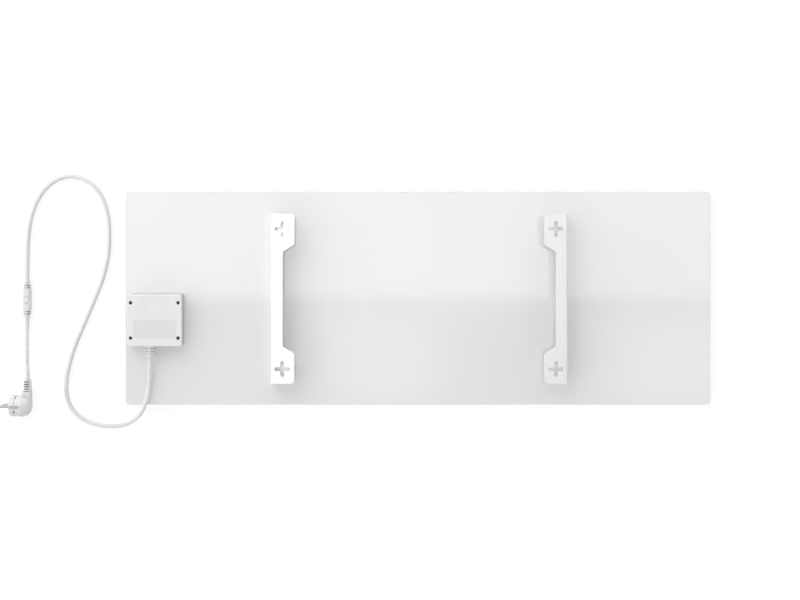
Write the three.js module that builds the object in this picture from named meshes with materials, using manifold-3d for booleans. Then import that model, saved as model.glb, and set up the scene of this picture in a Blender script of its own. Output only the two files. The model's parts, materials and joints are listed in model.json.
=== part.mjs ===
// Frameless glass infrared panel heater, lying face down with its wall brackets on top.
// Millimetres, +Z up: X runs along the panel, Y across it, and z = 0 is the heated glass face.

import * as THREE from 'three';
import { mergeVertices } from 'three/addons/utils/BufferGeometryUtils.js';
import Module from 'manifold-3d';

const wasm = await Module();
wasm.setup();

// ---- Driving dimensions ----

// Clearance between two pieces that touch.
const seatGap = 0.3;

// Panel: two panes with the heating layers between them.
const panelLength = 1100;
const panelWidth = 400;
const panelCornerRadius = 7;
const paneEdgeChamfer = 0.8;
const frontPaneThickness = 5;
const rearPaneThickness = 4;
const filmThickness = 0.6;
const busbarThickness = 0.6;
const insulationThickness = 0.8;
const reflectorThickness = 0.6;
const sealInset = 2;
const sealWidth = 8;
const layerMargin = 1;
const filmMargin = 4;
const filmBoxDistance = 12;
const busbarWidth = 10;
const busbarInset = 3;

// Opening through which the leads come out of the panel.
const leadHoleRadius = 12;
const leadHoleInset = 48;
const leadHoleBelowMiddle = 8;
const leadSlotWidth = 8;
const leadSlotLength = 22;
const filmLeadSpread = 5.5;
const earthLeadOffset = 8.5;
const wireDiameter = 2.6;

// Adhesive under the brackets and the box.
const bondThickness = 0.8;
const bondInset = 3;

// Wall brackets: bent sheet, open towards the panel's middle.
const bracketOuterFace = 274.5;
const bracketLength = 314;
const bracketStandOff = 30;
const bracketTabWidth = 43.5;
const bracketWaistWidth = 22;
const bracketTabLength = 56;
const bracketTaperLength = 13.5;
const bracketSheet = 2;
const bracketBendRadius = 3;
const bracketFreeCornerRadius = 7;
const bracketWaistCornerRadius = 5;
const keyholeFromEnd = 27.5;
const keyholeSpan = 30;
const keyholeArmWidth = 7.2;

// Connection box.
const boxLength = 100;
const boxWidth = 96;
const boxHeight = 24.5;
const boxEdgeInset = 9.5;
const boxMiddleBelow = 40;
const boxCornerRadius = 3;
const boxTopRound = 1.2;
const boxWall = 3;
const boxFloor = 2.2;
const coverHeight = 9;
const coverTop = 2.6;
const coverSkirt = 1.2;
const tongueHeight = 1;
const gasketThickness = 0.8;
const partingGap = 0.4;
const coverScrewInsetX = 6;
const coverScrewInsetY = 15.3;
const coverPostRadius = 4.5;
const coverScrewHeadRadius = 2.9;
const coverScrewHeadHeight = 1.5;
const coverScrewHoleRadius = 3.4;
const coverScrewRecess = 5.2;
const coverScrewShankRadius = 1.5;
const coverScrewLength = 12;

// Supply cord and the relief where it leaves the box.
const cordDiameter = 7.5;
const cordAboveRear = 10;
const cordFromBoxMiddle = -11.5;
const glandLength = 21;
const glandRootWidth = 20;
const glandRootHeight = 13.5;
const glandEndWidth = 15;
const glandEndHeight = 11;
const glandNeckWidth = 15;
const glandNeckHeight = 8;
const glandFlangeWidth = 19;
const glandFlangeHeight = 12.4;
const glandFlangeThickness = 2.5;
const glandCollarLength = 4.4;
const glandSlotWidth = 2.2;
const glandSlotPitch = 4.9;
const glandSlotCount = 3;
const reliefSpineWidth = 4;
const reliefCoreRadius = 3.4;

// Cord clamp inside the box.
const cordTailLength = 18;
const clampFromGland = 9;
const clampLength = 26;
const clampWidth = 7;
const clampThickness = 3.4;
const clampPostSpread = 9;
const clampPostRadius = 3;
const smallScrewHeadRadius = 2.6;
const smallScrewHeadHeight = 1.8;
const smallScrewShankRadius = 1.2;
const smallScrewLength = 8;

// Terminal block and temperature limiter.
const terminalPitch = 12;
const terminalCount = 3;
const terminalWidth = 18;
const terminalHeight = 11;
const terminalAheadOfCordTail = 18;
const terminalBoreRadius = 1.7;
const terminalBoreHeight = 5;
const terminalScrewSpread = 4.5;
const terminalScrewRadius = 1.7;
const terminalScrewWellRadius = 2.1;
const terminalScrewDepth = 2;
const wireInsertion = 4;
const limiterFromBoxMiddleX = 29.5;
const limiterFromBoxMiddleY = 24;
const limiterRadius = 8;
const limiterFlangeRadius = 9.5;
const limiterFlangeThickness = 1;
const limiterHeight = 8;
const limiterTabSpread = 4.5;
const limiterTabWidth = 4.8;
const limiterTabThickness = 0.8;
const limiterTabReach = 11;

// Rocker switch on the cord.
const switchX = -737;
const switchY = -2.8;
const switchLength = 57.7;
const switchWidth = 14;
const switchHeight = 13;
const switchCornerRadius = 4.2;
const switchEndRound = 1.2;
const switchWall = 1.5;
const switchEndBlock = 9;
const switchGrooveWidth = 1.9;
const switchGrooveDepth = 2.7;
const switchGrooveInsets = [2.5, 6.6];
const switchRidgeWidth = 2.4;
const switchBootLength = 7;
const switchBootRadius = 4.75;
const switchBootNeckRadius = 2.7;
const switchBootFlange = 9.2;
const switchBootFlangeThickness = 1.5;
const switchScrewSpread = 15;
const switchBossRadius = 2.3;
const switchScrewHeadRadius = 1.7;
const switchScrewHeadHeight = 1.2;
const switchScrewShankRadius = 0.8;
const switchScrewLength = 7;
const rockerBelowTop = 3;
const rockerRadius = 7.2;
const rockerHalfWidth = 4.4;
const rockerUnderside = 2.5;
const rockerMiddleRise = 0.3;
const rockerPadAngle = 10;
const rockerTilt = 8;
const rockerPinRadius = 1;
const rockerPinHalfLength = 5.3;
const contactWidth = 4;
const contactThickness = 0.6;

// Angled two-pin plug with side earth contacts, lying with its pins level.
const plugFaceX = -761.8;
const plugAxisY = -201;
const plugNoseRadius = 19.2;
const plugNoseLength = 17.5;
const plugGripRadius = 20.3;
const plugGripEnd = 24.6;
const plugDomeEnd = 35.8;
const plugDomeRadius = 9;
const plugSeamInset = 10;
const plugSeamWidth = 0.8;
const plugSeamDepth = 0.7;
const plugGrooveWidth = 4.6;
const plugGrooveDepth = 2;
const plugPartingWidth = 1;
const plugPartingDepth = 0.8;
const plugMouldHoleRadius = 1.9;
const plugMouldHoleDepth = 3.5;
const plugMouldHoleAngle = 30;
const plugArmFront = 22.3;
const plugArmRear = 37.8;
const plugArmHeight = 16;
const plugArmRound = 2.5;
const plugArmTop = 28;
const plugArmHeel = 10;
const plugArmChamfer = 6;
const plugPinSpread = 9.5;
const plugPinRadius = 2.4;
const plugPinReach = 19;
const plugPinRoot = 8;
const plugCarrierRadius = 14;
const plugCarrierThickness = 3;
const plugEarthHoleRadius = 2.6;
const plugEarthHoleOffset = 9.5;
const earthClipWidth = 5;
const earthClipThickness = 0.8;
const earthClipLength = 12;
const earthClipFrontReach = 2.6;
const earthClipRearReach = 2.4;
const plugReliefLength = 20.5;
const plugReliefRoot = 15;
const plugReliefEnd = 12;
const plugReliefSlotLength = 9;
const plugReliefSlotWidth = 1.9;
const plugReliefSlotPitch = 4.3;
const plugReliefSlotCount = 4;

// The cord's way over the panel and the floor, as chosen points with x, y and height.
const cordRoute = [
  [-502, -122, 22.4],
  [-502.5, -140, 18.6],
  [-504, -160, 17.3],
  [-507.5, -182, 17.2],
  [-513, -201, 16.9],
  [-521, -216, 14.3],
  [-536, -230, 9.2],
  [-554, -239, 5.2],
  [-574, -242.5, 3.9],
  [-603, -240, 3.9],
  [-629, -231, 3.9],
  [-650, -214, 3.9],
  [-662, -190, 3.9],
  [-664, -160, 3.9],
  [-659, -129, 3.9],
  [-648, -92, 3.9],
  [-631, -51, 3.9],
  [-607, 6, 3.9],
  [-593, 44, 3.9],
  [-585, 82, 3.9],
  [-583, 119, 3.9],
  [-586, 157, 3.9],
  [-599, 195, 3.9],
  [-622, 219, 3.9],
  [-656, 230.5, 3.9],
  [-689, 219, 3.9],
  [-713, 194, 3.9],
  [-729, 157, 3.9],
  [-735.6, 119, 3.9],
  [-737.5, 82, 4],
  [-737.5, 60, 4.9]
];
const plugCordRoute = [
  [-736.6, -62, 9.2],
  [-735, -95, 14.5],
  [-732.9, -124, 18.9]
];

// ---- Levels and places that follow from them ----

const filmBottom = frontPaneThickness + seatGap;
const busbarBottom = filmBottom + filmThickness + seatGap;
const busbarTop = busbarBottom + busbarThickness;
const insulationBottom = busbarTop + seatGap;
const reflectorBottom = insulationBottom + insulationThickness + seatGap;
const reflectorTop = reflectorBottom + reflectorThickness;
const rearPaneBottom = reflectorTop + seatGap;
const rearFace = rearPaneBottom + rearPaneThickness;
const bondBottom = rearFace + seatGap;
const bondTop = bondBottom + bondThickness;
const fittedBottom = bondTop + seatGap;

const boxX = -panelLength / 2 + boxEdgeInset + boxLength / 2;
const boxY = -boxMiddleBelow;
const boxTop = rearFace + boxHeight;
const splitHeight = boxTop - coverHeight;
const floorTop = fittedBottom + boxFloor;
const tongueTop = splitHeight + tongueHeight;
const gasketBottom = tongueTop + seatGap;
const coverSeat = gasketBottom + gasketThickness + seatGap;
const boxRight = boxX + boxLength / 2;
const boxCordSide = boxY - boxWidth / 2;
const leadHoleX = -panelLength / 2 + sealInset + sealWidth + leadHoleInset;
const leadHoleY = -leadHoleBelowMiddle;

const cordRadius = cordDiameter / 2;
const wireRadius = wireDiameter / 2;
const cordX = boxX + cordFromBoxMiddle;
const cordHeight = rearFace + cordAboveRear;
const glandEndY = boxCordSide - seatGap - glandLength;
const glandFlangeY = boxCordSide + boxWall + seatGap;
const cordTailStart = glandFlangeY + glandFlangeThickness + seatGap;
const cordTailEnd = cordTailStart + cordTailLength;
const clampY = glandFlangeY + clampFromGland;
const clampBottom = cordHeight + cordRadius + seatGap;

const terminalY = cordTailEnd + terminalAheadOfCordTail + terminalWidth / 2;
const terminalX = cordX + terminalPitch / 2;
const terminalBottom = floorTop + seatGap;
const terminalLength = terminalCount * terminalPitch + 2;
const terminalBore = terminalBottom + terminalBoreHeight;
const poleX = [-1, 0, 1].map((step) => terminalX + step * terminalPitch);
const limiterX = boxX + limiterFromBoxMiddleX;
const limiterY = boxY + limiterFromBoxMiddleY;
const limiterBottom = floorTop + seatGap;
const limiterTop = limiterBottom + limiterHeight;

const switchMid = switchHeight / 2;
const rockerPivot = switchHeight - rockerBelowTop;
const plugAxisZ = plugGripRadius;
const plugArmX = plugFaceX + (plugArmFront + plugArmRear) / 2;
const plugArmTopY = plugAxisY + plugArmTop;
const plugReliefStart = plugArmTopY + seatGap;
const plugReliefTip = plugReliefStart + plugReliefLength;

// ---- Materials ----

function material(color, roughness, metalness) {
  return () => new THREE.MeshStandardMaterial({ color, roughness, metalness });
}

const whiteGlass = material(0xf1f2f2, 0.08, 0);
const carbonFilm = material(0x2b2b2d, 0.6, 0);
const copperStrip = material(0xb87452, 0.35, 1);
const micaSheet = material(0xcfc9b4, 0.6, 0);
const aluminiumFoil = material(0xc9ccce, 0.3, 1);
const clearSilicone = material(0xd9dcdc, 0.5, 0);
const satinAluminium = material(0xe2e6e6, 0.32, 1);
const foamTape = material(0xe4e5e4, 0.8, 0);
const whiteHousing = material(0xeeeeee, 0.45, 0);
const greyRubber = material(0x6e7173, 0.8, 0);
const zincScrew = material(0xc4c6c6, 0.35, 1);
const creamNylon = material(0xe8e4d6, 0.5, 0);
const blackPhenolic = material(0x26221f, 0.5, 0);
const whiteCord = material(0xe8e8e8, 0.5, 0);
const brownWire = material(0x6b3f27, 0.5, 0);
const blueWire = material(0x2f5fa8, 0.5, 0);
const greenWire = material(0x8aa536, 0.5, 0);
const nickelPin = material(0xcfcfca, 0.25, 1);
const brassContact = material(0xc9a85c, 0.35, 1);
const greyCarrier = material(0xbfc1c2, 0.5, 0);

// ---- Tools for solids ----

function toSolid(shape) {
  if (!(shape instanceof THREE.BufferGeometry)) return shape;
  const bare = shape.clone();
  bare.deleteAttribute('normal');
  bare.deleteAttribute('uv');
  const merged = mergeVertices(bare, 1e-4);
  return new wasm.Manifold(new wasm.Mesh({
    numProp: 3,
    vertProperties: merged.attributes.position.array,
    triVerts: Uint32Array.from(merged.index.array)
  }));
}

function toGeometry(shape) {
  if (shape instanceof THREE.BufferGeometry) return shape;
  const mesh = shape.getMesh();
  const indexed = new THREE.BufferGeometry();
  indexed.setAttribute('position', new THREE.BufferAttribute(mesh.vertProperties, 3));
  indexed.setIndex(new THREE.BufferAttribute(mesh.triVerts, 1));
  const geometry = indexed.toNonIndexed();
  geometry.computeVertexNormals();
  return geometry;
}

function cut(body, ...tools) {
  return tools.reduce((left, tool) => left.subtract(toSolid(tool)), toSolid(body));
}

function join(...pieces) {
  return pieces.map(toSolid).reduce((whole, piece) => whole.add(piece));
}

function common(first, second) {
  return toSolid(first).intersect(toSolid(second));
}

// A solid block between two values on each axis.
function block(x, y, z) {
  const geometry = new THREE.BoxGeometry(x[1] - x[0], y[1] - y[0], z[1] - z[0]);
  return geometry.translate((x[0] + x[1]) / 2, (y[0] + y[1]) / 2, (z[0] + z[1]) / 2);
}

function rod(radius, start, end, sides = 12) {
  const from = new THREE.Vector3(...start);
  const to = new THREE.Vector3(...end);
  const way = to.clone().sub(from);
  const geometry = new THREE.CylinderGeometry(radius, radius, way.length(), sides);
  geometry.applyQuaternion(
    new THREE.Quaternion().setFromUnitVectors(new THREE.Vector3(0, 1, 0), way.normalize())
  );
  const middle = from.add(to).multiplyScalar(0.5);
  return geometry.translate(middle.x, middle.y, middle.z);
}

// A closed outline from corners [x, y, radius], each rounded by an arc.
function outline(corners) {
  const shape = new THREE.Shape();
  corners.forEach(([x, y, radius = 0], index) => {
    const corner = new THREE.Vector2(x, y);
    if (radius === 0) {
      if (index === 0) shape.moveTo(x, y);
      else shape.lineTo(x, y);
      return;
    }
    const before = corners[(index + corners.length - 1) % corners.length];
    const after = corners[(index + 1) % corners.length];
    const toBefore = new THREE.Vector2(before[0], before[1]).sub(corner).normalize();
    const toAfter = new THREE.Vector2(after[0], after[1]).sub(corner).normalize();
    const half = Math.acos(THREE.MathUtils.clamp(toBefore.dot(toAfter), -1, 1)) / 2;
    const reach = radius / Math.tan(half);
    const start = corner.clone().addScaledVector(toBefore, reach);
    const end = corner.clone().addScaledVector(toAfter, reach);
    const bisector = toBefore.clone().add(toAfter).normalize();
    const centre = corner.clone().addScaledVector(bisector, radius / Math.sin(half));
    const startAngle = start.clone().sub(centre).angle();
    const endAngle = end.clone().sub(centre).angle();
    if (index === 0) shape.moveTo(start.x, start.y);
    else if (shape.curves.length === 0) shape.lineTo(start.x, start.y);
    shape.absarc(centre.x, centre.y, radius, startAngle, endAngle, toBefore.cross(toAfter) > 0);
  });
  return shape;
}

function roundedRectangle(width, height, radius, x = 0, y = 0) {
  const w = width / 2;
  const h = height / 2;
  return outline([
    [x - w, y - h, radius],
    [x + w, y - h, radius],
    [x + w, y + h, radius],
    [x - w, y + h, radius]
  ]);
}

function circle(radius, x = 0, y = 0) {
  return new THREE.Shape().absarc(x, y, radius, 0, Math.PI * 2);
}

// Raises an outline from one level to another, with an optional bevel on both edges.
function raise(shape, bottom, top, { edge = 0, curveSegments = 2 } = {}) {
  const geometry = new THREE.ExtrudeGeometry(shape, {
    depth: top - bottom - 2 * edge,
    curveSegments,
    bevelEnabled: edge > 0,
    bevelThickness: edge,
    bevelSize: edge,
    bevelOffset: -edge,
    bevelSegments: 1
  });
  return geometry.translate(0, 0, bottom + edge);
}

// Runs an outline drawn in (x, z) along Y.
function runAlongY(shape, start, end, options) {
  const geometry = raise(shape, -end, -start, options);
  const basis = new THREE.Matrix4().makeBasis(
    new THREE.Vector3(1, 0, 0), new THREE.Vector3(0, 0, 1), new THREE.Vector3(0, -1, 0)
  );
  return geometry.applyMatrix4(basis);
}

// Runs an outline drawn in (y, z) along X.
function runAlongX(shape, start, end, options) {
  const geometry = raise(shape, start, end, options);
  const basis = new THREE.Matrix4().makeBasis(
    new THREE.Vector3(0, 1, 0), new THREE.Vector3(0, 0, 1), new THREE.Vector3(1, 0, 0)
  );
  return geometry.applyMatrix4(basis);
}

// Turns a profile of [radius, height] about the vertical through a point.
function turn(profile, x, y, z, sides = 24) {
  const points = profile.map(([radius, height]) => new THREE.Vector2(radius, height));
  return new THREE.LatheGeometry(points, sides).rotateX(Math.PI / 2).translate(x, y, z);
}

// A tapered bar along Y, whose section goes from one size to the other.
function taperAlongY(startY, startSize, endY, endSize, x, z, roundness, curveSegments = 2) {
  const section = roundedRectangle(2, 2, roundness);
  const geometry = runAlongY(
    section, Math.min(startY, endY), Math.max(startY, endY), { curveSegments }
  );
  const position = geometry.attributes.position;
  for (let index = 0; index < position.count; index += 1) {
    const share = (position.getY(index) - startY) / (endY - startY);
    const halfWidth = THREE.MathUtils.lerp(startSize[0], endSize[0], share) / 2;
    const halfHeight = THREE.MathUtils.lerp(startSize[1], endSize[1], share) / 2;
    position.setX(index, x + position.getX(index) * halfWidth);
    position.setZ(index, z + position.getZ(index) * halfHeight);
  }
  return geometry;
}

function tube(points, diameter, steps, curveSegments = 4) {
  const path = new THREE.CatmullRomCurve3(points.map((point) => new THREE.Vector3(...point)));
  path.curveType = 'centripetal';
  return new THREE.ExtrudeGeometry(circle(diameter / 2), {
    steps,
    curveSegments,
    extrudePath: path
  });
}

function wire(points) {
  return tube(points, wireDiameter, 2 * (points.length - 1), 3);
}

// A pan-head screw with its seat at the given height and its shank going down.
function screw(x, y, seat, head, shank, sides = 10) {
  return turn([
    [0, -shank.length - shank.radius],
    [shank.radius, -shank.length],
    [shank.radius, 0],
    [head.radius, 0],
    [head.radius, head.height * 0.6],
    [head.radius * 0.75, head.height],
    [0, head.height]
  ], x, y, seat, sides);
}

const heater = new THREE.Group();
heater.name = 'infrared_panel_heater';

function add(name, shape, makeMaterial) {
  const mesh = new THREE.Mesh(toGeometry(shape), makeMaterial());
  mesh.name = name;
  heater.add(mesh);
  return mesh;
}

// ---- Panel ----

function paneOutline(inset, radius = panelCornerRadius) {
  const corner = Math.max(radius - inset, 1);
  return roundedRectangle(panelLength - 2 * inset, panelWidth - 2 * inset, corner);
}

function leadSlot() {
  const slot = roundedRectangle(leadSlotWidth, leadSlotLength, leadSlotWidth / 2 - 0.01);
  return raise(slot, 0, rearFace).translate(leadHoleX, leadHoleY, 0);
}

function leadHole(bottom, top) {
  return rod(leadHoleRadius, [leadHoleX, leadHoleY, bottom], [leadHoleX, leadHoleY, top], 24);
}

// The busbar lies along one edge of the film and turns back to the lead opening.
function busbar(side) {
  const outer = panelWidth / 2 - sealInset - sealWidth - filmMargin - busbarInset;
  const inner = outer - busbarWidth;
  const filmEnd = panelLength / 2 - sealInset - sealWidth - filmMargin - busbarInset;
  const tailStart = leadHoleX - busbarWidth / 2;
  const tailEnd = side * leadHoleY + filmLeadSpread - wireRadius - 1;
  const corners = [
    [tailStart, tailEnd],
    [tailStart + busbarWidth, tailEnd],
    [tailStart + busbarWidth, inner],
    [filmEnd, inner],
    [filmEnd, outer],
    [tailStart, outer]
  ].map(([x, y]) => [x, side * y]);
  const strip = outline(side > 0 ? corners : corners.reverse());
  return raise(strip, busbarBottom, busbarTop);
}

function addPanel() {
  const sealInner = sealInset + sealWidth;
  const layerInset = sealInner + layerMargin;
  const filmEdge = sealInner + filmMargin;
  const frontPane = raise(paneOutline(0), 0, frontPaneThickness, { edge: paneEdgeChamfer });
  const rearPane = raise(paneOutline(0), rearPaneBottom, rearFace, { edge: paneEdgeChamfer });
  const film = block(
    [boxRight + filmBoxDistance, panelLength / 2 - filmEdge],
    [-panelWidth / 2 + filmEdge, panelWidth / 2 - filmEdge],
    [filmBottom, filmBottom + filmThickness]
  );
  const insulation = raise(
    paneOutline(layerInset), insulationBottom, insulationBottom + insulationThickness
  );
  const reflector = raise(paneOutline(layerInset), reflectorBottom, reflectorTop);
  const sealOutline = paneOutline(sealInset);
  sealOutline.holes.push(paneOutline(sealInner));
  add('front_glass', frontPane, whiteGlass);
  add('heating_film', film, carbonFilm);
  add('busbar_upper', busbar(1), copperStrip);
  add('busbar_lower', busbar(-1), copperStrip);
  add('insulation_sheet', cut(insulation, leadSlot()), micaSheet);
  add('reflector_sheet', cut(reflector, leadSlot()), aluminiumFoil);
  add('edge_seal', raise(sealOutline, filmBottom, reflectorTop), clearSilicone);
  add('rear_glass', cut(rearPane, leadHole(0, rearFace + 1)), whiteGlass);
}

// ---- Wall brackets ----

// The flange outline: a full-width tab at each end and a narrow waist between them.
function bracketOutline(inset) {
  const outer = -bracketOuterFace + inset;
  const waist = -bracketOuterFace + bracketWaistWidth - inset;
  const tab = -bracketOuterFace + bracketTabWidth - inset;
  const end = bracketLength / 2 - inset;
  const tabEnd = bracketLength / 2 - bracketTabLength;
  const waistEnd = tabEnd - bracketTaperLength;
  const waistRound = bracketWaistCornerRadius;
  return outline([
    [outer, -end],
    [tab, -end, bracketFreeCornerRadius],
    [tab, -tabEnd, waistRound],
    [waist, -waistEnd, waistRound],
    [waist, waistEnd, waistRound],
    [tab, tabEnd, waistRound],
    [tab, end, bracketFreeCornerRadius],
    [outer, end]
  ]);
}

// The bent section: bonded flange, web and hanging plate.
function bracketSection() {
  const outer = -bracketOuterFace;
  const free = outer + bracketTabWidth + 1;
  const bottom = fittedBottom;
  const top = rearFace + bracketStandOff;
  const innerBend = bracketBendRadius - bracketSheet;
  return outline([
    [outer, bottom, bracketBendRadius],
    [free, bottom],
    [free, bottom + bracketSheet],
    [outer + bracketSheet, bottom + bracketSheet, innerBend],
    [outer + bracketSheet, top - bracketSheet, innerBend],
    [free, top - bracketSheet],
    [free, top],
    [outer, top, bracketBendRadius]
  ]);
}

function bracket() {
  const top = rearFace + bracketStandOff;
  const bent = runAlongY(bracketSection(), -bracketLength / 2, bracketLength / 2);
  const flanges = raise(bracketOutline(0), fittedBottom - 1, top + 1);
  const tabMiddle = -bracketOuterFace + bracketTabWidth / 2;
  const keyholeY = bracketLength / 2 - keyholeFromEnd;
  const armRound = keyholeArmWidth / 2 - 0.01;
  const arms = [-1, 1].flatMap((end) => [
    roundedRectangle(keyholeSpan, keyholeArmWidth, armRound, tabMiddle, end * keyholeY),
    roundedRectangle(keyholeArmWidth, keyholeSpan, armRound, tabMiddle, end * keyholeY)
  ]);
  const keyholes = arms.map((arm) => raise(arm, top - bracketSheet - 1, top + 1));
  return cut(common(bent, flanges), ...keyholes);
}

function addBrackets() {
  const bond = raise(bracketOutline(bondInset), bondBottom, bondTop);
  const bracketShape = toGeometry(bracket());
  const sides = { left: 0, right: Math.PI };
  for (const [side, angle] of Object.entries(sides)) {
    add(`bracket_${side}`, bracketShape, satinAluminium).rotation.z = angle;
    add(`bracket_bond_${side}`, bond, foamTape).rotation.z = angle;
  }
}

// ---- Connection box ----

function boxOutline(inset) {
  const corner = Math.max(boxCornerRadius - inset, 0.6);
  return roundedRectangle(boxLength - 2 * inset, boxWidth - 2 * inset, corner, boxX, boxY);
}

function coverScrewPlaces() {
  const reachX = boxLength / 2 - coverScrewInsetX;
  const reachY = boxWidth / 2 - coverScrewInsetY;
  return [[-1, 1], [1, 1], [1, -1], [-1, -1]].map(
    ([sideX, sideY]) => [boxX + sideX * reachX, boxY + sideY * reachY]
  );
}

function post([x, y], radius, bottom, top, sides = 12) {
  return rod(radius, [x, y, bottom], [x, y, top], sides);
}

function clampScrewPlaces() {
  return [-1, 1].map((side) => [cordX + side * clampPostSpread, clampY]);
}

function boxBase() {
  const outerTop = splitHeight - partingGap / 2;
  const tub = join(
    raise(boxOutline(0), fittedBottom, outerTop),
    raise(boxOutline(coverSkirt + seatGap), outerTop - 1, tongueTop)
  );
  const hollow = raise(boxOutline(boxWall), floorTop, tongueTop + 1);
  const posts = coverScrewPlaces().map((place) => post(place, coverPostRadius, fittedBottom, tongueTop));
  const postHoles = coverScrewPlaces().map(
    (place) => post(place, coverScrewShankRadius + seatGap, floorTop, tongueTop + 1, 12)
  );
  const clampPosts = clampScrewPlaces().map(
    (place) => post(place, clampPostRadius, fittedBottom, clampBottom - seatGap)
  );
  const clampHoles = clampScrewPlaces().map(
    (place) => post(place, smallScrewShankRadius + seatGap, floorTop, clampBottom, 8)
  );
  const saddle = block(
    [cordX - clampPostSpread, cordX + clampPostSpread],
    [clampY - clampWidth / 2, clampY + clampWidth / 2],
    [fittedBottom, cordHeight - cordRadius - seatGap]
  );
  const terminalStops = [-1, 1].map((side) => block(
    [terminalX - terminalLength / 3, terminalX + terminalLength / 3],
    [
      terminalY + side * (terminalWidth / 2 + seatGap + 0.6) - 0.6,
      terminalY + side * (terminalWidth / 2 + seatGap + 0.6) + 0.6
    ],
    [fittedBottom, terminalBottom + 2]
  ));
  const limiterCup = cut(
    post([limiterX, limiterY], limiterFlangeRadius + seatGap + 1.5, fittedBottom, limiterBottom + 3, 16),
    post([limiterX, limiterY], limiterFlangeRadius + seatGap, floorTop, limiterBottom + 4, 16)
  );
  const glandHole = runAlongY(
    roundedRectangle(
      glandNeckWidth + 2 * seatGap, glandNeckHeight + 2 * seatGap, 3, cordX, cordHeight
    ),
    boxCordSide - 1, boxCordSide + boxWall + 1
  );
  const shell = join(
    cut(tub, hollow), ...posts, ...clampPosts, saddle, ...terminalStops, limiterCup
  );
  return cut(shell, ...postHoles, ...clampHoles, glandHole, leadHole(0, floorTop + 1));
}

function boxCover() {
  const outerBottom = splitHeight + partingGap / 2;
  const rounded = raise(boxOutline(0), outerBottom - 4, boxTop, { edge: boxTopRound });
  const lid = common(rounded, raise(boxOutline(-1), outerBottom, boxTop + 1));
  const skirtSpace = raise(boxOutline(coverSkirt), outerBottom - 1, coverSeat);
  const inside = raise(boxOutline(boxWall), outerBottom - 1, boxTop - coverTop);
  const bosses = coverScrewPlaces().map(
    (place) => post(place, coverPostRadius, coverSeat, boxTop - 1)
  );
  const recesses = coverScrewPlaces().flatMap((place) => [
    post(place, coverScrewHoleRadius, boxTop - coverScrewRecess, boxTop + 1),
    post(place, coverScrewShankRadius + seatGap, coverSeat - 1, boxTop, 12)
  ]);
  return cut(join(cut(lid, skirtSpace, inside), ...bosses), ...recesses);
}

function addBox() {
  const gasketOutline = boxOutline(coverSkirt + 2 * seatGap);
  gasketOutline.holes.push(boxOutline(boxWall));
  const bond = cut(raise(boxOutline(bondInset), bondBottom, bondTop), leadHole(0, fittedBottom));
  add('box_bond', bond, foamTape);
  add('box_base', boxBase(), whiteHousing);
  add('box_gasket', raise(gasketOutline, gasketBottom, gasketBottom + gasketThickness), greyRubber);
  add('box_cover', boxCover(), whiteHousing);
  coverScrewPlaces().forEach(([x, y], index) => {
    const head = { radius: coverScrewHeadRadius, height: coverScrewHeadHeight };
    const shank = { radius: coverScrewShankRadius, length: coverScrewLength };
    const seat = boxTop - coverScrewRecess + seatGap;
    add(`cover_screw_${index + 1}`, screw(x, y, seat, head, shank), zincScrew);
  });
}

// ---- Cord entry: relief, clamp and cord tail ----

function cordGland() {
  const root = boxCordSide - seatGap;
  const collarStart = glandEndY + glandCollarLength;
  const body = taperAlongY(
    root, [glandRootWidth, glandRootHeight],
    collarStart, [glandEndWidth - 2, glandEndHeight - 1], cordX, cordHeight, 0.6, 1
  );
  const collar = runAlongY(
    roundedRectangle(glandEndWidth, glandEndHeight, 3.5, cordX, cordHeight),
    glandEndY, collarStart + 0.2, { edge: 0.6 }
  );
  const slots = Array.from({ length: glandSlotCount }, (_, index) => {
    const middle = collarStart + glandSlotWidth / 2 + 0.7 + index * glandSlotPitch;
    return block(
      [cordX - glandRootWidth, cordX + glandRootWidth],
      [middle - glandSlotWidth / 2, middle + glandSlotWidth / 2],
      [cordHeight - glandRootHeight, cordHeight + glandRootHeight]
    );
  });
  const core = rod(
    reliefCoreRadius, [cordX, collarStart, cordHeight], [cordX, root, cordHeight]
  );
  const spine = common(body, block(
    [cordX - reliefSpineWidth / 2, cordX + reliefSpineWidth / 2],
    [collarStart, root],
    [cordHeight - glandRootHeight, cordHeight + glandRootHeight]
  ));
  const neck = runAlongY(
    roundedRectangle(glandNeckWidth, glandNeckHeight, 2.7, cordX, cordHeight),
    root - 0.5, glandFlangeY + 0.5
  );
  const flange = runAlongY(
    roundedRectangle(glandFlangeWidth, glandFlangeHeight, 3, cordX, cordHeight),
    glandFlangeY, glandFlangeY + glandFlangeThickness
  );
  return join(cut(body, ...slots), core, spine, collar, neck, flange);
}

function addCordEntry() {
  const tail = rod(
    cordRadius, [cordX, cordTailStart, cordHeight], [cordX, cordTailEnd, cordHeight], 16
  );
  const bar = raise(
    roundedRectangle(clampLength, clampWidth, clampWidth / 2 - 0.01, cordX, clampY),
    clampBottom, clampBottom + clampThickness
  );
  const holes = clampScrewPlaces().map(
    (place) => post(place, smallScrewShankRadius + seatGap, clampBottom - 1, boxTop, 12)
  );
  add('cord_gland', cordGland(), whiteCord);
  add('cord_tail', tail, whiteCord);
  add('cord_clamp', cut(bar, ...holes), whiteHousing);
  clampScrewPlaces().forEach(([x, y], index) => {
    const head = { radius: smallScrewHeadRadius, height: smallScrewHeadHeight };
    const shank = { radius: smallScrewShankRadius, length: smallScrewLength };
    const seat = clampBottom + clampThickness + seatGap;
    add(`clamp_screw_${index + 1}`, screw(x, y, seat, head, shank, 8), zincScrew);
  });
}

// ---- Wiring inside the box ----

function terminalScrewPlaces() {
  return poleX.flatMap((x) => [-1, 1].map((side) => [x, terminalY + side * terminalScrewSpread]));
}

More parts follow.
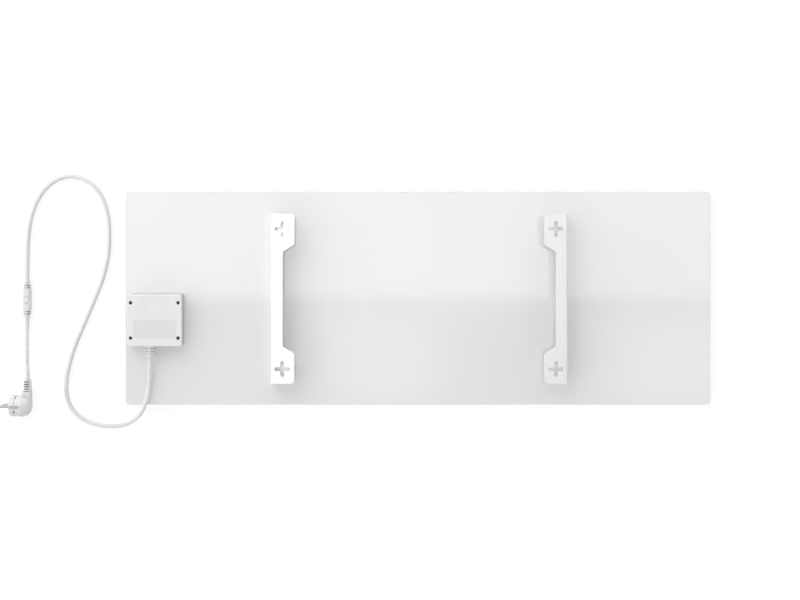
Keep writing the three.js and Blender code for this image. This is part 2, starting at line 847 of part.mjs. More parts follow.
function terminalBlock() {
  const top = terminalBottom + terminalHeight;
  const body = raise(
    roundedRectangle(terminalLength, terminalWidth, 1.5, terminalX, terminalY),
    terminalBottom, top
  );
  const bores = poleX.map((x) => rod(
    terminalBoreRadius,
    [x, terminalY - terminalWidth, terminalBore], [x, terminalY + terminalWidth, terminalBore], 8
  ));
  const wells = terminalScrewPlaces().map(
    (place) => post(place, terminalScrewWellRadius, terminalBore, top + 1, 8)
  );
  return cut(body, ...bores, ...wells);
}

function limiter() {
  const can = turn([
    [0, 0],
    [limiterFlangeRadius, 0],
    [limiterFlangeRadius, limiterFlangeThickness],
    [limiterRadius, limiterFlangeThickness],
    [limiterRadius, limiterHeight - 1],
    [limiterRadius - 1, limiterHeight],
    [0, limiterHeight]
  ], limiterX, limiterY, limiterBottom, 18);
  const tabs = [-1, 1].map((side) => {
    const middle = limiterY + side * limiterTabSpread;
    return block(
      [limiterX - limiterTabReach, limiterX - 1],
      [middle - limiterTabWidth / 2 + 0.3, middle + limiterTabWidth / 2 - 0.3],
      [limiterTop - 0.1, limiterTop - 0.1 + limiterTabThickness]
    );
  });
  return join(can, ...tabs);
}

function addWiring() {
  const cordSide = terminalY - terminalWidth / 2 + wireInsertion;
  const panelSide = terminalY + terminalWidth / 2 - wireInsertion;
  const coreStart = cordTailEnd + seatGap;
  const coreSpread = 1.9;
  const cordEntry = cordSide - wireInsertion;
  const panelEntry = panelSide + wireInsertion;
  const fan = (startX, startZ, endX) => [
    [startX, coreStart, startZ],
    [startX, coreStart + 4, startZ],
    [endX, cordEntry - 4, terminalBore],
    [endX, cordEntry - 0.5, terminalBore],
    [endX, cordSide, terminalBore]
  ];
  const leaving = (x) => [
    [x, panelSide, terminalBore],
    [x, panelEntry + 0.5, terminalBore],
    [x, panelEntry + 3, terminalBore]
  ];
  const tabEnd = limiterX - limiterTabReach - seatGap;
  const tabHeight = limiterTop - 0.1 + limiterTabThickness / 2;
  const upperLead = leadHoleY + filmLeadSpread;
  const lowerLead = leadHoleY - filmLeadSpread;
  const earthX = leadHoleX - earthLeadOffset;
  const busbarSeat = busbarTop + seatGap;
  const reflectorSeat = reflectorTop + seatGap;
  const bendTop = terminalBore + 2;
  const cores = {
    cord_core_earth: [fan(cordX - coreSpread, cordHeight - 1, poleX[0]), greenWire],
    cord_core_neutral: [fan(cordX, cordHeight + coreSpread, poleX[1]), blueWire],
    cord_core_live: [fan(cordX + coreSpread, cordHeight - 1, poleX[2]), brownWire]
  };
  const leads = {
    earth_lead: [[
      ...leaving(poleX[0]),
      [earthX - 1.5, leadHoleY - 4, bendTop],
      [earthX, leadHoleY, bendTop - 3],
      [earthX, leadHoleY, rearFace],
      [earthX, leadHoleY, reflectorSeat]
    ], greenWire],
    film_lead_neutral: [[
      ...leaving(poleX[1]),
      [leadHoleX - 0.5, lowerLead - 4, bendTop],
      [leadHoleX, lowerLead, bendTop - 3],
      [leadHoleX, lowerLead, rearFace],
      [leadHoleX, lowerLead, busbarSeat]
    ], blueWire],
    limiter_lead: [[
      ...leaving(poleX[2]),
      [tabEnd - 6, limiterY - limiterTabSpread, tabHeight],
      [tabEnd, limiterY - limiterTabSpread, tabHeight]
    ], brownWire],
    film_lead_live: [[
      [tabEnd, limiterY + limiterTabSpread, tabHeight],
      [tabEnd - 5, limiterY + limiterTabSpread, tabHeight],
      [leadHoleX + 4, upperLead - 1, bendTop + 1],
      [leadHoleX, upperLead, bendTop - 3],
      [leadHoleX, upperLead, rearFace],
      [leadHoleX, upperLead, busbarSeat]
    ], brownWire]
  };
  add('terminal_block', terminalBlock(), creamNylon);
  terminalScrewPlaces().forEach(([x, y], index) => {
    const top = terminalBottom + terminalHeight - 1;
    const shape = post([x, y], terminalScrewRadius, top - terminalScrewDepth, top, 10);
    add(`terminal_screw_${index + 1}`, shape, brassContact);
  });
  add('thermal_limiter', limiter(), blackPhenolic);
  for (const [name, [points, makeMaterial]] of Object.entries({ ...cores, ...leads })) {
    add(name, wire(points), makeMaterial);
  }
}

// ---- Rocker switch on the cord ----

function switchSection(inset) {
  return roundedRectangle(
    switchWidth - 2 * inset, switchHeight - 2 * inset, switchCornerRadius - inset, switchX, switchMid
  );
}

function switchBody() {
  const halfLength = switchLength / 2;
  const start = switchY - halfLength;
  const end = switchY + halfLength;
  const whole = runAlongY(switchSection(0), start, end, { edge: switchEndRound });
  const chamber = runAlongY(
    switchSection(switchWall), start + switchEndBlock, end - switchEndBlock
  );
  const middle = block(
    [switchX - switchWidth, switchX + switchWidth],
    [switchY - rockerRadius - 2, switchY + rockerRadius + 2],
    [rockerPivot - 1.6, switchHeight]
  );
  const bore = rod(
    switchBootNeckRadius + seatGap,
    [switchX, start - 1, switchMid], [switchX, end + 1, switchMid]
  );
  const core = runAlongY(switchSection(switchGrooveDepth), start - 1, end + 1, { curveSegments: 1 });
  const grooves = [-1, 1].flatMap((side) => switchGrooveInsets.map((inset) => {
    const centre = switchY + side * (halfLength - inset);
    const slab = block(
      [switchX - switchWidth, switchX + switchWidth],
      [centre - switchGrooveWidth / 2, centre + switchGrooveWidth / 2],
      [-1, switchHeight + 1]
    );
    const ridge = block(
      [switchX - switchRidgeWidth / 2, switchX + switchRidgeWidth / 2],
      [start, end],
      [-2, switchHeight + 2]
    );
    return cut(slab, core, ridge);
  }));
  const bosses = switchScrewPlaces().map(
    (place) => post(place, switchBossRadius, switchWall / 2, switchHeight - switchWall / 2, 12)
  );
  const boreEnds = cut(bore, block(
    [switchX - 10, switchX + 10],
    [start + switchEndBlock, end - switchEndBlock],
    [0, switchHeight]
  ));
  return cut(
    join(cut(whole, cut(chamber, middle)), ...bosses),
    boreEnds, ...grooves, rockerPocket(), rockerPinBore(rockerPinHalfLength + seatGap)
  );
}

function switchScrewPlaces() {
  return [-1, 1].map((side) => [switchX, switchY + side * switchScrewSpread]);
}

// A barrel round the rocker's axis, so that it keeps its gap at every angle.
function rockerBarrel(gap) {
  const barrel = new THREE.SphereGeometry(1, 16, 10);
  barrel.rotateZ(Math.PI / 2);
  barrel.scale(rockerHalfWidth + gap, rockerRadius + gap, rockerRadius + gap);
  return barrel.translate(switchX, switchY, rockerPivot);
}

function rockerPocket() {
  return rockerBarrel(seatGap + 0.05);
}

function rockerPinBore(halfLength) {
  return rod(
    rockerPinRadius + seatGap,
    [switchX - halfLength, switchY, rockerPivot], [switchX + halfLength, switchY, rockerPivot], 16
  );
}

// The rocker has two pads that rise from its middle, and a flat underside.
function rocker() {
  const padLevel = rockerBelowTop + rockerMiddleRise;
  const above = [-1, 1].map((side) => {
    const slab = new THREE.BoxGeometry(20, 40, 20).translate(0, 0, 10);
    slab.rotateX(THREE.MathUtils.degToRad(side * rockerPadAngle));
    return slab.translate(switchX, switchY, rockerPivot + padLevel);
  });
  const below = block(
    [switchX - 10, switchX + 10],
    [switchY - 10, switchY + 10],
    [rockerPivot - 12, rockerPivot - rockerUnderside]
  );
  const level = cut(
    rockerBarrel(0), common(above[0], above[1]), below, rockerPinBore(rockerHalfWidth + 1)
  );
  const geometry = toGeometry(level);
  geometry.translate(0, -switchY, -rockerPivot);
  geometry.rotateX(-THREE.MathUtils.degToRad(rockerTilt));
  return geometry.translate(0, switchY, rockerPivot);
}

function switchBoot(side) {
  const faceY = switchY + side * (switchLength / 2 + seatGap);
  const innerY = switchY + side * (switchLength / 2 - switchEndBlock - seatGap);
  const tipY = faceY + side * switchBootLength;
  const tipRadius = cordRadius + 0.4;
  const cone = taperAlongY(
    faceY, [2 * switchBootRadius, 2 * switchBootRadius],
    tipY, [2 * tipRadius, 2 * tipRadius], switchX, switchMid, 0.9
  );
  const neck = rod(
    switchBootNeckRadius, [switchX, innerY, switchMid], [switchX, faceY + side * 0.5, switchMid]
  );
  const flangeEnds = [innerY, innerY - side * switchBootFlangeThickness];
  const flange = runAlongY(
    roundedRectangle(switchBootFlange, switchBootFlange, 2.8, switchX, switchMid),
    Math.min(...flangeEnds), Math.max(...flangeEnds)
  );
  return join(cone, neck, flange);
}

// A bent contact strip, drawn in (y, z) from its foot on the floor of the lower shell.
function contactStrip(side, reach, height) {
  const foot = switchWall + seatGap;
  const steps = side * switchScrewSpread - side * (switchBossRadius + seatGap);
  const start = switchY + steps;
  const rise = start - side * 4;
  const top = foot + height;
  const tip = switchY + reach;
  const t = contactThickness;
  const corners = [
    [start, foot],
    [rise, foot],
    [rise - side * 2, top],
    [tip, top],
    [tip, top + t],
    [rise - side * 2 + side * 0.2, top + t],
    [rise + side * 0.2, foot + t],
    [start, foot + t]
  ];
  const strip = outline(side < 0 ? corners : corners.reverse());
  return runAlongX(strip, switchX - contactWidth / 2, switchX + contactWidth / 2);
}

function addSwitch() {
  const whole = switchBody();
  const wide = [switchX - switchWidth, switchX + switchWidth];
  const long = [switchY - switchLength, switchY + switchLength];
  const lowerHalf = block(wide, long, [-1, switchMid - seatGap / 2]);
  const upperHalf = block(wide, long, [switchMid + seatGap / 2, switchHeight + 1]);
  const headSeat = switchScrewHeadHeight + seatGap;
  const screwHoles = switchScrewPlaces().flatMap((place) => [
    post(place, switchScrewHeadRadius + seatGap, -1, headSeat + seatGap, 12),
    post(place, switchScrewShankRadius + seatGap, 0, headSeat + switchScrewLength + 1.5, 8)
  ]);
  add('switch_lower_shell', cut(common(whole, lowerHalf), ...screwHoles), whiteHousing);
  add('switch_upper_shell', cut(common(whole, upperHalf), ...screwHoles), whiteHousing);
  add('switch_rocker', rocker(), whiteHousing);
  add('switch_rocker_pin', rod(
    rockerPinRadius,
    [switchX - rockerPinHalfLength, switchY, rockerPivot],
    [switchX + rockerPinHalfLength, switchY, rockerPivot], 16
  ), nickelPin);
  add('switch_fixed_contact', contactStrip(-1, -2, 1.4), brassContact);
  add('switch_spring_contact', contactStrip(1, -5, 3), brassContact);
  add('switch_boot_in', switchBoot(1), whiteCord);
  add('switch_boot_out', switchBoot(-1), whiteCord);
  switchScrewPlaces().forEach(([x, y], index) => {
    const head = { radius: switchScrewHeadRadius, height: switchScrewHeadHeight };
    const shank = { radius: switchScrewShankRadius, length: switchScrewLength };
    const shape = screw(0, 0, 0, head, shank, 8).rotateX(Math.PI).translate(x, y, headSeat);
    add(`switch_screw_${index + 1}`, shape, zincScrew);
  });
}

// ---- Plug ----

// The turned body of the plug, from its pin face to the dome behind the grip.
function plugDrum() {
  const domeSteps = 3;
  const dome = Array.from({ length: domeSteps + 1 }, (_, index) => {
    const angle = (index / domeSteps) * Math.PI / 2;
    const radius = plugDomeRadius + (plugGripRadius - 1 - plugDomeRadius) * Math.cos(angle);
    return [radius, plugGripEnd + (plugDomeEnd - plugGripEnd) * Math.sin(angle)];
  });
  const profile = [
    [0, 0],
    [plugNoseRadius - 1.6, 0],
    [plugNoseRadius, 1.6],
    [plugNoseRadius, plugSeamInset],
    [plugNoseRadius - plugSeamDepth, plugSeamInset + plugSeamWidth * 0.2],
    [plugNoseRadius - plugSeamDepth, plugSeamInset + plugSeamWidth * 0.8],
    [plugNoseRadius, plugSeamInset + plugSeamWidth],
    [plugNoseRadius, plugNoseLength],
    [plugGripRadius - 0.5, plugNoseLength],
    [plugGripRadius, plugNoseLength + 0.5],
    [plugGripRadius, plugGripEnd - 1],
    ...dome,
    [0, plugDomeEnd]
  ];
  return alongPlugAxis(turn(profile, 0, 0, 0, 24));
}

// Lays a piece made about the vertical along the plug's axis, with its zero at the pin face.
function alongPlugAxis(geometry) {
  return geometry.rotateY(Math.PI / 2).translate(plugFaceX, plugAxisY, plugAxisZ);
}

function plugRod(radius, from, to, offsetY, offsetZ, sides = 12) {
  const y = plugAxisY + offsetY;
  const z = plugAxisZ + offsetZ;
  return rod(radius, [plugFaceX + from, y, z], [plugFaceX + to, y, z], sides);
}

// The arm carries the cord out at a right angle, with a bevelled heel at its other end.
function plugArm() {
  const front = plugFaceX + plugArmFront;
  const rear = plugFaceX + plugArmRear;
  const heel = plugAxisY - plugArmHeel;
  const shape = outline([
    [front, heel],
    [rear - plugArmChamfer, heel, 5],
    [rear, heel + plugArmChamfer, 5],
    [rear - 0.5, plugArmTopY],
    [rear - plugReliefRoot - 0.5, plugArmTopY],
    [front - 2, plugArmTopY - 9]
  ]);
  const half = plugArmHeight / 2;
  return raise(shape, plugAxisZ - half, plugAxisZ + half, { edge: plugArmRound });
}

function plugBody() {
  const guideGrooves = [-1, 1].map((side) => {
    const outer = plugAxisZ + side * (plugNoseRadius + 1);
    const floor = plugAxisZ + side * (plugNoseRadius - plugGrooveDepth);
    return block(
      [plugFaceX - 1, plugFaceX + plugNoseLength + 1.5],
      [plugAxisY - plugGrooveWidth / 2, plugAxisY + plugGrooveWidth / 2],
      [Math.min(outer, floor), Math.max(outer, floor)]
    );
  });
  const carrierPocket = plugRod(
    plugCarrierRadius + seatGap, -1, plugCarrierThickness + seatGap, 0, 0, 24
  );
  const pinBores = [-1, 1].map((side) => plugRod(
    plugPinRadius + seatGap, 0, plugPinRoot + seatGap, 0, side * plugPinSpread
  ));
  const earthHole = plugRod(
    plugEarthHoleRadius, 0, plugPinRoot + plugCarrierThickness, plugEarthHoleOffset, 0, 12
  );
  const clipSpaces = [-1, 1].map((side) => earthClip(side, seatGap));
  return cut(
    join(plugDrum(), plugArm()),
    ...guideGrooves, plugPartingLine(), ...plugMouldHoles(),
    carrierPocket, ...pinBores, earthHole, ...clipSpaces
  );
}

// The fine groove along the grip where the two halves of the mould met.
function plugPartingLine() {
  const band = block(
    [plugFaceX + plugNoseLength - 0.5, plugFaceX + plugArmFront + 4],
    [plugAxisY - plugPartingWidth / 2, plugAxisY + plugPartingWidth / 2],
    [plugAxisZ - plugGripRadius - 1, plugAxisZ + plugGripRadius + 1]
  );
  const kept = plugRod(
    plugGripRadius - plugPartingDepth, plugNoseLength - 1, plugArmFront + 5, 0, 0, 24
  );
  return cut(band, kept);
}

// Round holes in the nose, left by the pins that held the inside in place during moulding.
function plugMouldHoles() {
  const along = plugFaceX + plugSeamInset + plugSeamWidth / 2;
  return [0, 1, 2, 3].map((quarter) => {
    const angle = THREE.MathUtils.degToRad(plugMouldHoleAngle + quarter * 90);
    const [y, z] = [Math.cos(angle), Math.sin(angle)];
    const place = (radius) => [along, plugAxisY + y * radius, plugAxisZ + z * radius];
    return rod(
      plugMouldHoleRadius, place(plugNoseRadius - plugMouldHoleDepth), place(plugNoseRadius + 1), 8
    );
  });
}

// A bent earth strip let into the side of the nose, hooked in at both ends.
function earthClip(side, gap) {
  const outer = plugNoseRadius + (gap > 0 ? 1.5 : 0);
  const inner = plugNoseRadius - earthClipThickness - gap;
  const frontInner = plugNoseRadius - earthClipThickness - earthClipFrontReach - gap;
  const rearInner = plugNoseRadius - earthClipThickness - earthClipRearReach - gap;
  const t = earthClipThickness;
  const noseX = gap > 0 ? plugFaceX - 1 : plugFaceX + 0.2;
  const frontX = plugFaceX + 0.2 + t + gap;
  const rearX = plugFaceX + earthClipLength;
  const corners = [
    [noseX, frontInner],
    [frontX, frontInner],
    [frontX + 1.4, inner],
    [rearX - t - gap, inner],
    [rearX - t - gap, rearInner],
    [rearX + gap, rearInner],
    [rearX + gap, outer],
    [frontX + 1, outer],
    [noseX, outer - 2.2]
  ].map(([x, y]) => [x, plugAxisY + side * y]);
  const shape = outline(side > 0 ? corners : corners.reverse());
  const half = earthClipWidth / 2 + gap;
  return raise(shape, plugAxisZ - half, plugAxisZ + half);
}

function pinCarrier() {
  const disc = plugRod(plugCarrierRadius, 0.2, plugCarrierThickness, 0, 0, 24);
  const pinHoles = [-1, 1].map((side) => plugRod(
    plugPinRadius + seatGap, -1, plugCarrierThickness + 1, 0, side * plugPinSpread
  ));
  const earthHole = plugRod(
    plugEarthHoleRadius, -1, plugCarrierThickness + 1, plugEarthHoleOffset, 0, 12
  );
  return cut(disc, ...pinHoles, earthHole);
}

function plugPin(side) {
  const profile = [
    [0, -plugPinReach],
    [plugPinRadius * 0.55, -plugPinReach],
    [plugPinRadius * 0.9, -plugPinReach + 1.1],
    [plugPinRadius, -plugPinReach + 2.6],
    [plugPinRadius, plugPinRoot],
    [0, plugPinRoot]
  ];
  return alongPlugAxis(turn(profile, 0, 0, 0, 12)).translate(0, 0, side * plugPinSpread);
}

// The ribbed sleeve at the plug, with flexing slots above and below the cord.
function plugRelief() {
  const body = taperAlongY(
    plugReliefStart, [plugReliefRoot, plugReliefRoot],
    plugReliefTip, [plugReliefEnd, plugReliefEnd], plugArmX + 0.5, plugAxisZ, 0.7, 1
  );
  const slots = Array.from({ length: plugReliefSlotCount }, (_, index) => {
    const middle = plugReliefTip - 3.6 - index * plugReliefSlotPitch;
    return block(
      [plugArmX + 0.5 - plugReliefSlotLength / 2, plugArmX + 0.5 + plugReliefSlotLength / 2],
      [middle - plugReliefSlotWidth / 2, middle + plugReliefSlotWidth / 2],
      [plugAxisZ - plugReliefRoot, plugAxisZ + plugReliefRoot]
    );
  });
  const core = rod(
    reliefCoreRadius,
    [plugArmX + 0.5, plugReliefStart, plugAxisZ], [plugArmX + 0.5, plugReliefTip, plugAxisZ]
  );
  return join(cut(body, ...slots), core);
}

function addPlug() {
  add('plug_body', plugBody(), whiteHousing);
  add('plug_pin_carrier', pinCarrier(), greyCarrier);
  add('plug_pin_upper', plugPin(1), nickelPin);
  add('plug_pin_lower', plugPin(-1), nickelPin);
  add('plug_earth_clip_left', earthClip(1, 0), nickelPin);
  add('plug_earth_clip_right', earthClip(-1, 0), nickelPin);
  add('plug_relief', plugRelief(), whiteCord);
}

// ---- Free cord ----

function addCord() {
  const bootTip = switchLength / 2 + switchBootLength + 2 * seatGap;
  const entryY = switchY + bootTip;
  const exitY = switchY - bootTip;
  const longCord = [
    [cordX, glandEndY - seatGap, cordHeight],
    [cordX, glandEndY - seatGap - 5, cordHeight - 0.2],
    ...cordRoute,
    [switchX, entryY + 10, switchMid - 0.3],
    [switchX, entryY, switchMid]
  ];
  const shortCord = [
    [switchX, exitY, switchMid],
    [switchX, exitY - 8, switchMid + 0.3],
    ...plugCordRoute,
    [plugArmX + 0.5, plugReliefTip + 9, plugAxisZ - 0.2],
    [plugArmX + 0.5, plugReliefTip + seatGap, plugAxisZ]
  ];
  add('cord_long', tube(longCord, cordDiameter, 52), whiteCord);
  add('cord_short', tube(shortCord, cordDiameter, 8), whiteCord);
}

addPanel();
addBrackets();
addBox();
addCordEntry();
addWiring();
addCord();
addSwitch();
addPlug();

export default heater;
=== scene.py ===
import json
import math

import bmesh
import bpy
import numpy as np
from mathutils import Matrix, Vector


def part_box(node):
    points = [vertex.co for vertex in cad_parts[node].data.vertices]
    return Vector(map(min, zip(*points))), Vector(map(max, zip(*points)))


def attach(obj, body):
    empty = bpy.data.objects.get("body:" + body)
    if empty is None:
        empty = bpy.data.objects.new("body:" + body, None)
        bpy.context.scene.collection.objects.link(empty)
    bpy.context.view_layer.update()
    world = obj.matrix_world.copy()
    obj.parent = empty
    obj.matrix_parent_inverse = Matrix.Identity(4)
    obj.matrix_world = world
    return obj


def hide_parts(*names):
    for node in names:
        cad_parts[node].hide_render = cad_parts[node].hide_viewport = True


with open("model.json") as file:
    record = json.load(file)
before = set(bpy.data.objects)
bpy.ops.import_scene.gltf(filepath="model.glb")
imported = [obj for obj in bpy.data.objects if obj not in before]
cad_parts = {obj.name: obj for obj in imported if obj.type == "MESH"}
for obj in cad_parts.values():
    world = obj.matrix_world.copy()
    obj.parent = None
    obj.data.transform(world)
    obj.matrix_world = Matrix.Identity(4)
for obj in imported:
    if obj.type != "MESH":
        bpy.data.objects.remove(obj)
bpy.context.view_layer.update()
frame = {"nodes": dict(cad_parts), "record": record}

nodes = frame["nodes"]
print("stage: packed model loaded,", len(nodes), "nodes")


# ---------- small helpers ----------

def linear(hexColour, alpha=1.0):  # an sRGB hex value as the linear colour that a shader takes
    parts = [int(hexColour[i:i + 2], 16) / 255 for i in (1, 3, 5)]
    return tuple(c / 12.92 if c < 0.04045 else ((c + 0.055) / 1.055) ** 2.4 for c in parts) + (alpha,)


def addNode(tree, kind, inputs=None, **settings):  # one node, with its settings, values and links
    node = tree.nodes.new(kind)
    for name, value in settings.items():
        setattr(node, name, value)
    for name, value in (inputs or {}).items():
        socket = node.inputs[name]
        if isinstance(value, bpy.types.NodeSocket):
            tree.links.new(value, socket)
        else:
            socket.default_value = value
    return node


def newObject(name, data):
    made = bpy.data.objects.new(name, data)
    bpy.context.scene.collection.objects.link(made)
    return made


def meshFromArrays(name, points, faces):
    mesh = bpy.data.meshes.new(name)
    mesh.from_pydata(np.asarray(points, float).tolist(), [], faces)
    mesh.validate()
    mesh.update()
    return newObject(name, mesh)


def tidyNormals(piece):
    shape = bmesh.new()
    shape.from_mesh(piece.data)
    bmesh.ops.remove_doubles(shape, verts=shape.verts, dist=1e-6)
    bmesh.ops.recalc_face_normals(shape, faces=shape.faces)
    shape.to_mesh(piece.data)
    shape.free()


def smoothBelow(piece, degrees):  # soft shading, except where two faces meet at more than this angle
    shape = bmesh.new()
    shape.from_mesh(piece.data)
    for face in shape.faces:
        face.smooth = True
    limit = math.radians(degrees)
    for edge in shape.edges:
        edge.smooth = len(edge.link_faces) == 2 and edge.calc_face_angle(0) < limit
    shape.to_mesh(piece.data)
    shape.free()


def pieceName(nodeName):  # box_cover becomes boxCover
    words = nodeName.split("_")
    return words[0] + "".join(word.capitalize() for word in words[1:])


def standFor(piece, nodeNames, body):
    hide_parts(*nodeNames)
    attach(piece, body)
    return piece


# ---------- camera ----------

cameraView = {
    "heightAboveRear": 1.700,   # the picture is taken from straight above, a little up and left of the middle
    "rearFace": 0.0131,
    "overX": -0.120,
    "overY": 0.085,
    "frameWidth": 1.504,        # what the picture's width spans at the rear face
    "frameCentreX": -0.0339,    # the frame is moved towards the plug
    "frameCentreY": -0.0034,
    "sensor": 36.0
}


def makeCamera(v):
    data = bpy.data.cameras.new("camera")
    data.sensor_width = v["sensor"]
    data.lens = v["sensor"] * v["heightAboveRear"] / v["frameWidth"]
    data.shift_x = (v["frameCentreX"] - v["overX"]) / v["frameWidth"]
    data.shift_y = (v["frameCentreY"] - v["overY"]) / v["frameWidth"]
    data.clip_start, data.clip_end = 0.05, 30
    camera = newObject("camera", data)
    camera.location = (v["overX"], v["overY"], v["rearFace"] + v["heightAboveRear"])
    bpy.context.scene.camera = camera


makeCamera(cameraView)
print("stage: camera placed")


# ---------- softened edges ----------

bodyOfNode = {"switch_rocker": "rocker"}
slotOfNode = {entry["node"]: entry["material_slot"] for entry in frame["record"]["subparts"]}

# How wide each visible piece's broken edges are, in mm, and the angle from which an edge counts as one.
edgeWidths = {
    "rear_glass": 0.7, "front_glass": 0.7,
    "bracket_left": 0.3, "bracket_right": 0.3,
    "box_cover": 0.5, "box_base": 0.3, "cord_gland": 0.3,
    "switch_upper_shell": 0.5, "switch_lower_shell": 0.5, "switch_rocker": 0.25,
    "switch_boot_in": 0.2, "switch_boot_out": 0.2,
    "plug_body": 0.4, "plug_relief": 0.2, "plug_pin_carrier": 0.25,
    "plug_pin_upper": 0.15, "plug_pin_lower": 0.15,
    "plug_earth_clip_left": 0.1, "plug_earth_clip_right": 0.1
}
edgeShape = {"sharpFrom": 38, "segments": 2, "softBelow": 50, "joinWithin": 2e-6, "mergeWithin": 8e-6}
crispShape = {**edgeShape, "sharpFrom": 34, "softBelow": 34}  # for the plug, whose faces meet at low angles


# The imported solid's own form with its sharp edges rounded: its triangles are joined into flat faces first.
def softened(nodeName, widthMm, s):
    name = pieceName(nodeName)
    shape = bmesh.new()
    shape.from_mesh(nodes[nodeName].data)
    bmesh.ops.remove_doubles(shape, verts=shape.verts, dist=s["joinWithin"])
    bmesh.ops.dissolve_limit(shape, angle_limit=0.01, verts=shape.verts, edges=shape.edges)
    sharp = [edge for edge in shape.edges if edge.calc_face_angle(0) > math.radians(s["sharpFrom"])]
    bmesh.ops.bevel(
        shape, geom=sharp, offset=widthMm / 1000, offset_type="OFFSET", segments=s["segments"],
        profile=0.5, affect="EDGES", clamp_overlap=True
    )
    bmesh.ops.remove_doubles(shape, verts=shape.verts, dist=s["mergeWithin"])
    mesh = bpy.data.meshes.new(name)
    shape.to_mesh(mesh)
    shape.free()
    for extra in [a.name for a in mesh.attributes if a.name in ("custom_normal", "UVMap")]:
        mesh.attributes.remove(mesh.attributes[extra])
    piece = newObject(name, mesh)
    smoothBelow(piece, s["softBelow"])
    weighted = piece.modifiers.new("evenShading", "WEIGHTED_NORMAL")
    weighted.keep_sharp = True
    standFor(piece, [nodeName], bodyOfNode.get(nodeName, "heater"))
    return piece


softPieces = {
    name: softened(name, width, crispShape if name in ("plug_body", "plug_relief") else edgeShape)
    for name, width in edgeWidths.items()
}


# A cross-recess screw as one closed skin of rings around its axis: over the domed head, down its rim, in
# to the shank and down to the tip. Inside the cross the head's height drops by a smooth step of the
# distance to the nearer arm's side, times another of the distance from the centre.
screwSizes = {"around": 48, "domeMm": 0.35, "armMm": 0.42, "crossMm": 1.55, "crossDepthMm": 0.9, "tipMm": 0.5}


def smoothStep(value):
    t = np.clip(value, 0, 1)
    return t * t * (3 - 2 * t)


def makeScrew(nodeName, headMm, headHeightMm, shankMm, s):
    low, high = (np.array(corner) * 1000 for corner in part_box(nodeName))
    centre, top = (low + high)[:2] / 2, high[2]
    inner = np.linspace(0.02, headMm * 0.86, 15)
    rim = [headMm * 0.95, headMm, headMm, headMm * 0.97]
    radii = np.concatenate([inner, rim, [shankMm, shankMm, shankMm - s["tipMm"]]])
    heights = np.concatenate([
        top - s["domeMm"] * (inner / headMm) ** 2,
        [top - s["domeMm"] * 1.05, top - s["domeMm"] * 1.6, top - headHeightMm + 0.1, top - headHeightMm,
         top - headHeightMm, low[2] + s["tipMm"], low[2]]
    ])
    turn = np.arange(s["around"]) / s["around"] * 2 * math.pi
    x, y = radii[:, None] * np.cos(turn), radii[:, None] * np.sin(turn)
    toArm = s["armMm"] - np.minimum(np.abs(x), np.abs(y))
    inCross = smoothStep(toArm / 0.12) * smoothStep((s["crossMm"] - radii[:, None]) / 0.25)
    inCross[len(inner):] = 0
    z = heights[:, None] - s["crossDepthMm"] * inCross
    points = np.stack([x + centre[0], y + centre[1], z], -1).reshape(-1, 3) / 1000
    rows, around = radii.size, s["around"]
    i, j = np.meshgrid(np.arange(rows - 1), np.arange(around), indexing="ij")
    k = (j + 1) % around
    quads = np.stack([i * around + j, (i + 1) * around + j, (i + 1) * around + k, i * around + k], -1)
    caps = [list(range(around)), list(range((rows - 1) * around, rows * around))[::-1]]
    screw = meshFromArrays(pieceName(nodeName), points, quads.reshape(-1, 4).tolist() + caps)
    tidyNormals(screw)
    smoothBelow(screw, 40)
    return standFor(screw, [nodeName], "heater")


for number in range(1, 5):
    name = f"cover_screw_{number}"
    softPieces[name] = makeScrew(name, 2.9, 1.5, 1.5, screwSizes)
print("stage: edges softened on", len(softPieces), "pieces")


# ---------- the cord ----------

cordSizes = {
    "diameter": 0.0075,
    "exit": (-0.502, -0.1096, 0.0231),
    "switchOut": (-0.737, -0.03925, 0.0065),
    "stepsPerSpan": 12,
    "sides": 24
}

longRoute = [
    (-0.502, -0.1096, 0.0231), (-0.502, -0.1146, 0.0229), (-0.502, -0.122, 0.0224),
    (-0.5025, -0.140, 0.0186), (-0.504, -0.160, 0.0173), (-0.5075, -0.182, 0.0172),
    (-0.513, -0.201, 0.0169), (-0.521, -0.216, 0.0143), (-0.536, -0.230, 0.0092),
    (-0.554, -0.239, 0.0052), (-0.574, -0.2422, 0.0039), (-0.603, -0.240, 0.0039),
    (-0.629, -0.231, 0.0039), (-0.650, -0.214, 0.0039), (-0.662, -0.190, 0.0039),
    (-0.664, -0.160, 0.0039), (-0.659, -0.129, 0.0039), (-0.648, -0.092, 0.0039),
    (-0.631, -0.051, 0.0039), (-0.607, 0.006, 0.0039), (-0.593, 0.044, 0.0039),
    (-0.585, 0.082, 0.0039), (-0.583, 0.119, 0.0039), (-0.586, 0.157, 0.0039),
    (-0.599, 0.195, 0.0039), (-0.622, 0.219, 0.0039), (-0.656, 0.2297, 0.0039),
    (-0.689, 0.219, 0.0039), (-0.713, 0.194, 0.0039), (-0.729, 0.157, 0.0039),
    (-0.7356, 0.119, 0.0039), (-0.7375, 0.082, 0.0040), (-0.7375, 0.060, 0.0049),
    (-0.737, 0.04365, 0.0062), (-0.737, 0.03365, 0.0065)
]
shortRoute = [
    (-0.737, -0.03925, 0.0065), (-0.737, -0.04725, 0.0068), (-0.7366, -0.062, 0.0092),
    (-0.735, -0.095, 0.0145), (-0.7329, -0.124, 0.0189), (-0.73125, -0.1432, 0.0201),
    (-0.73125, -0.1519, 0.0203)
]


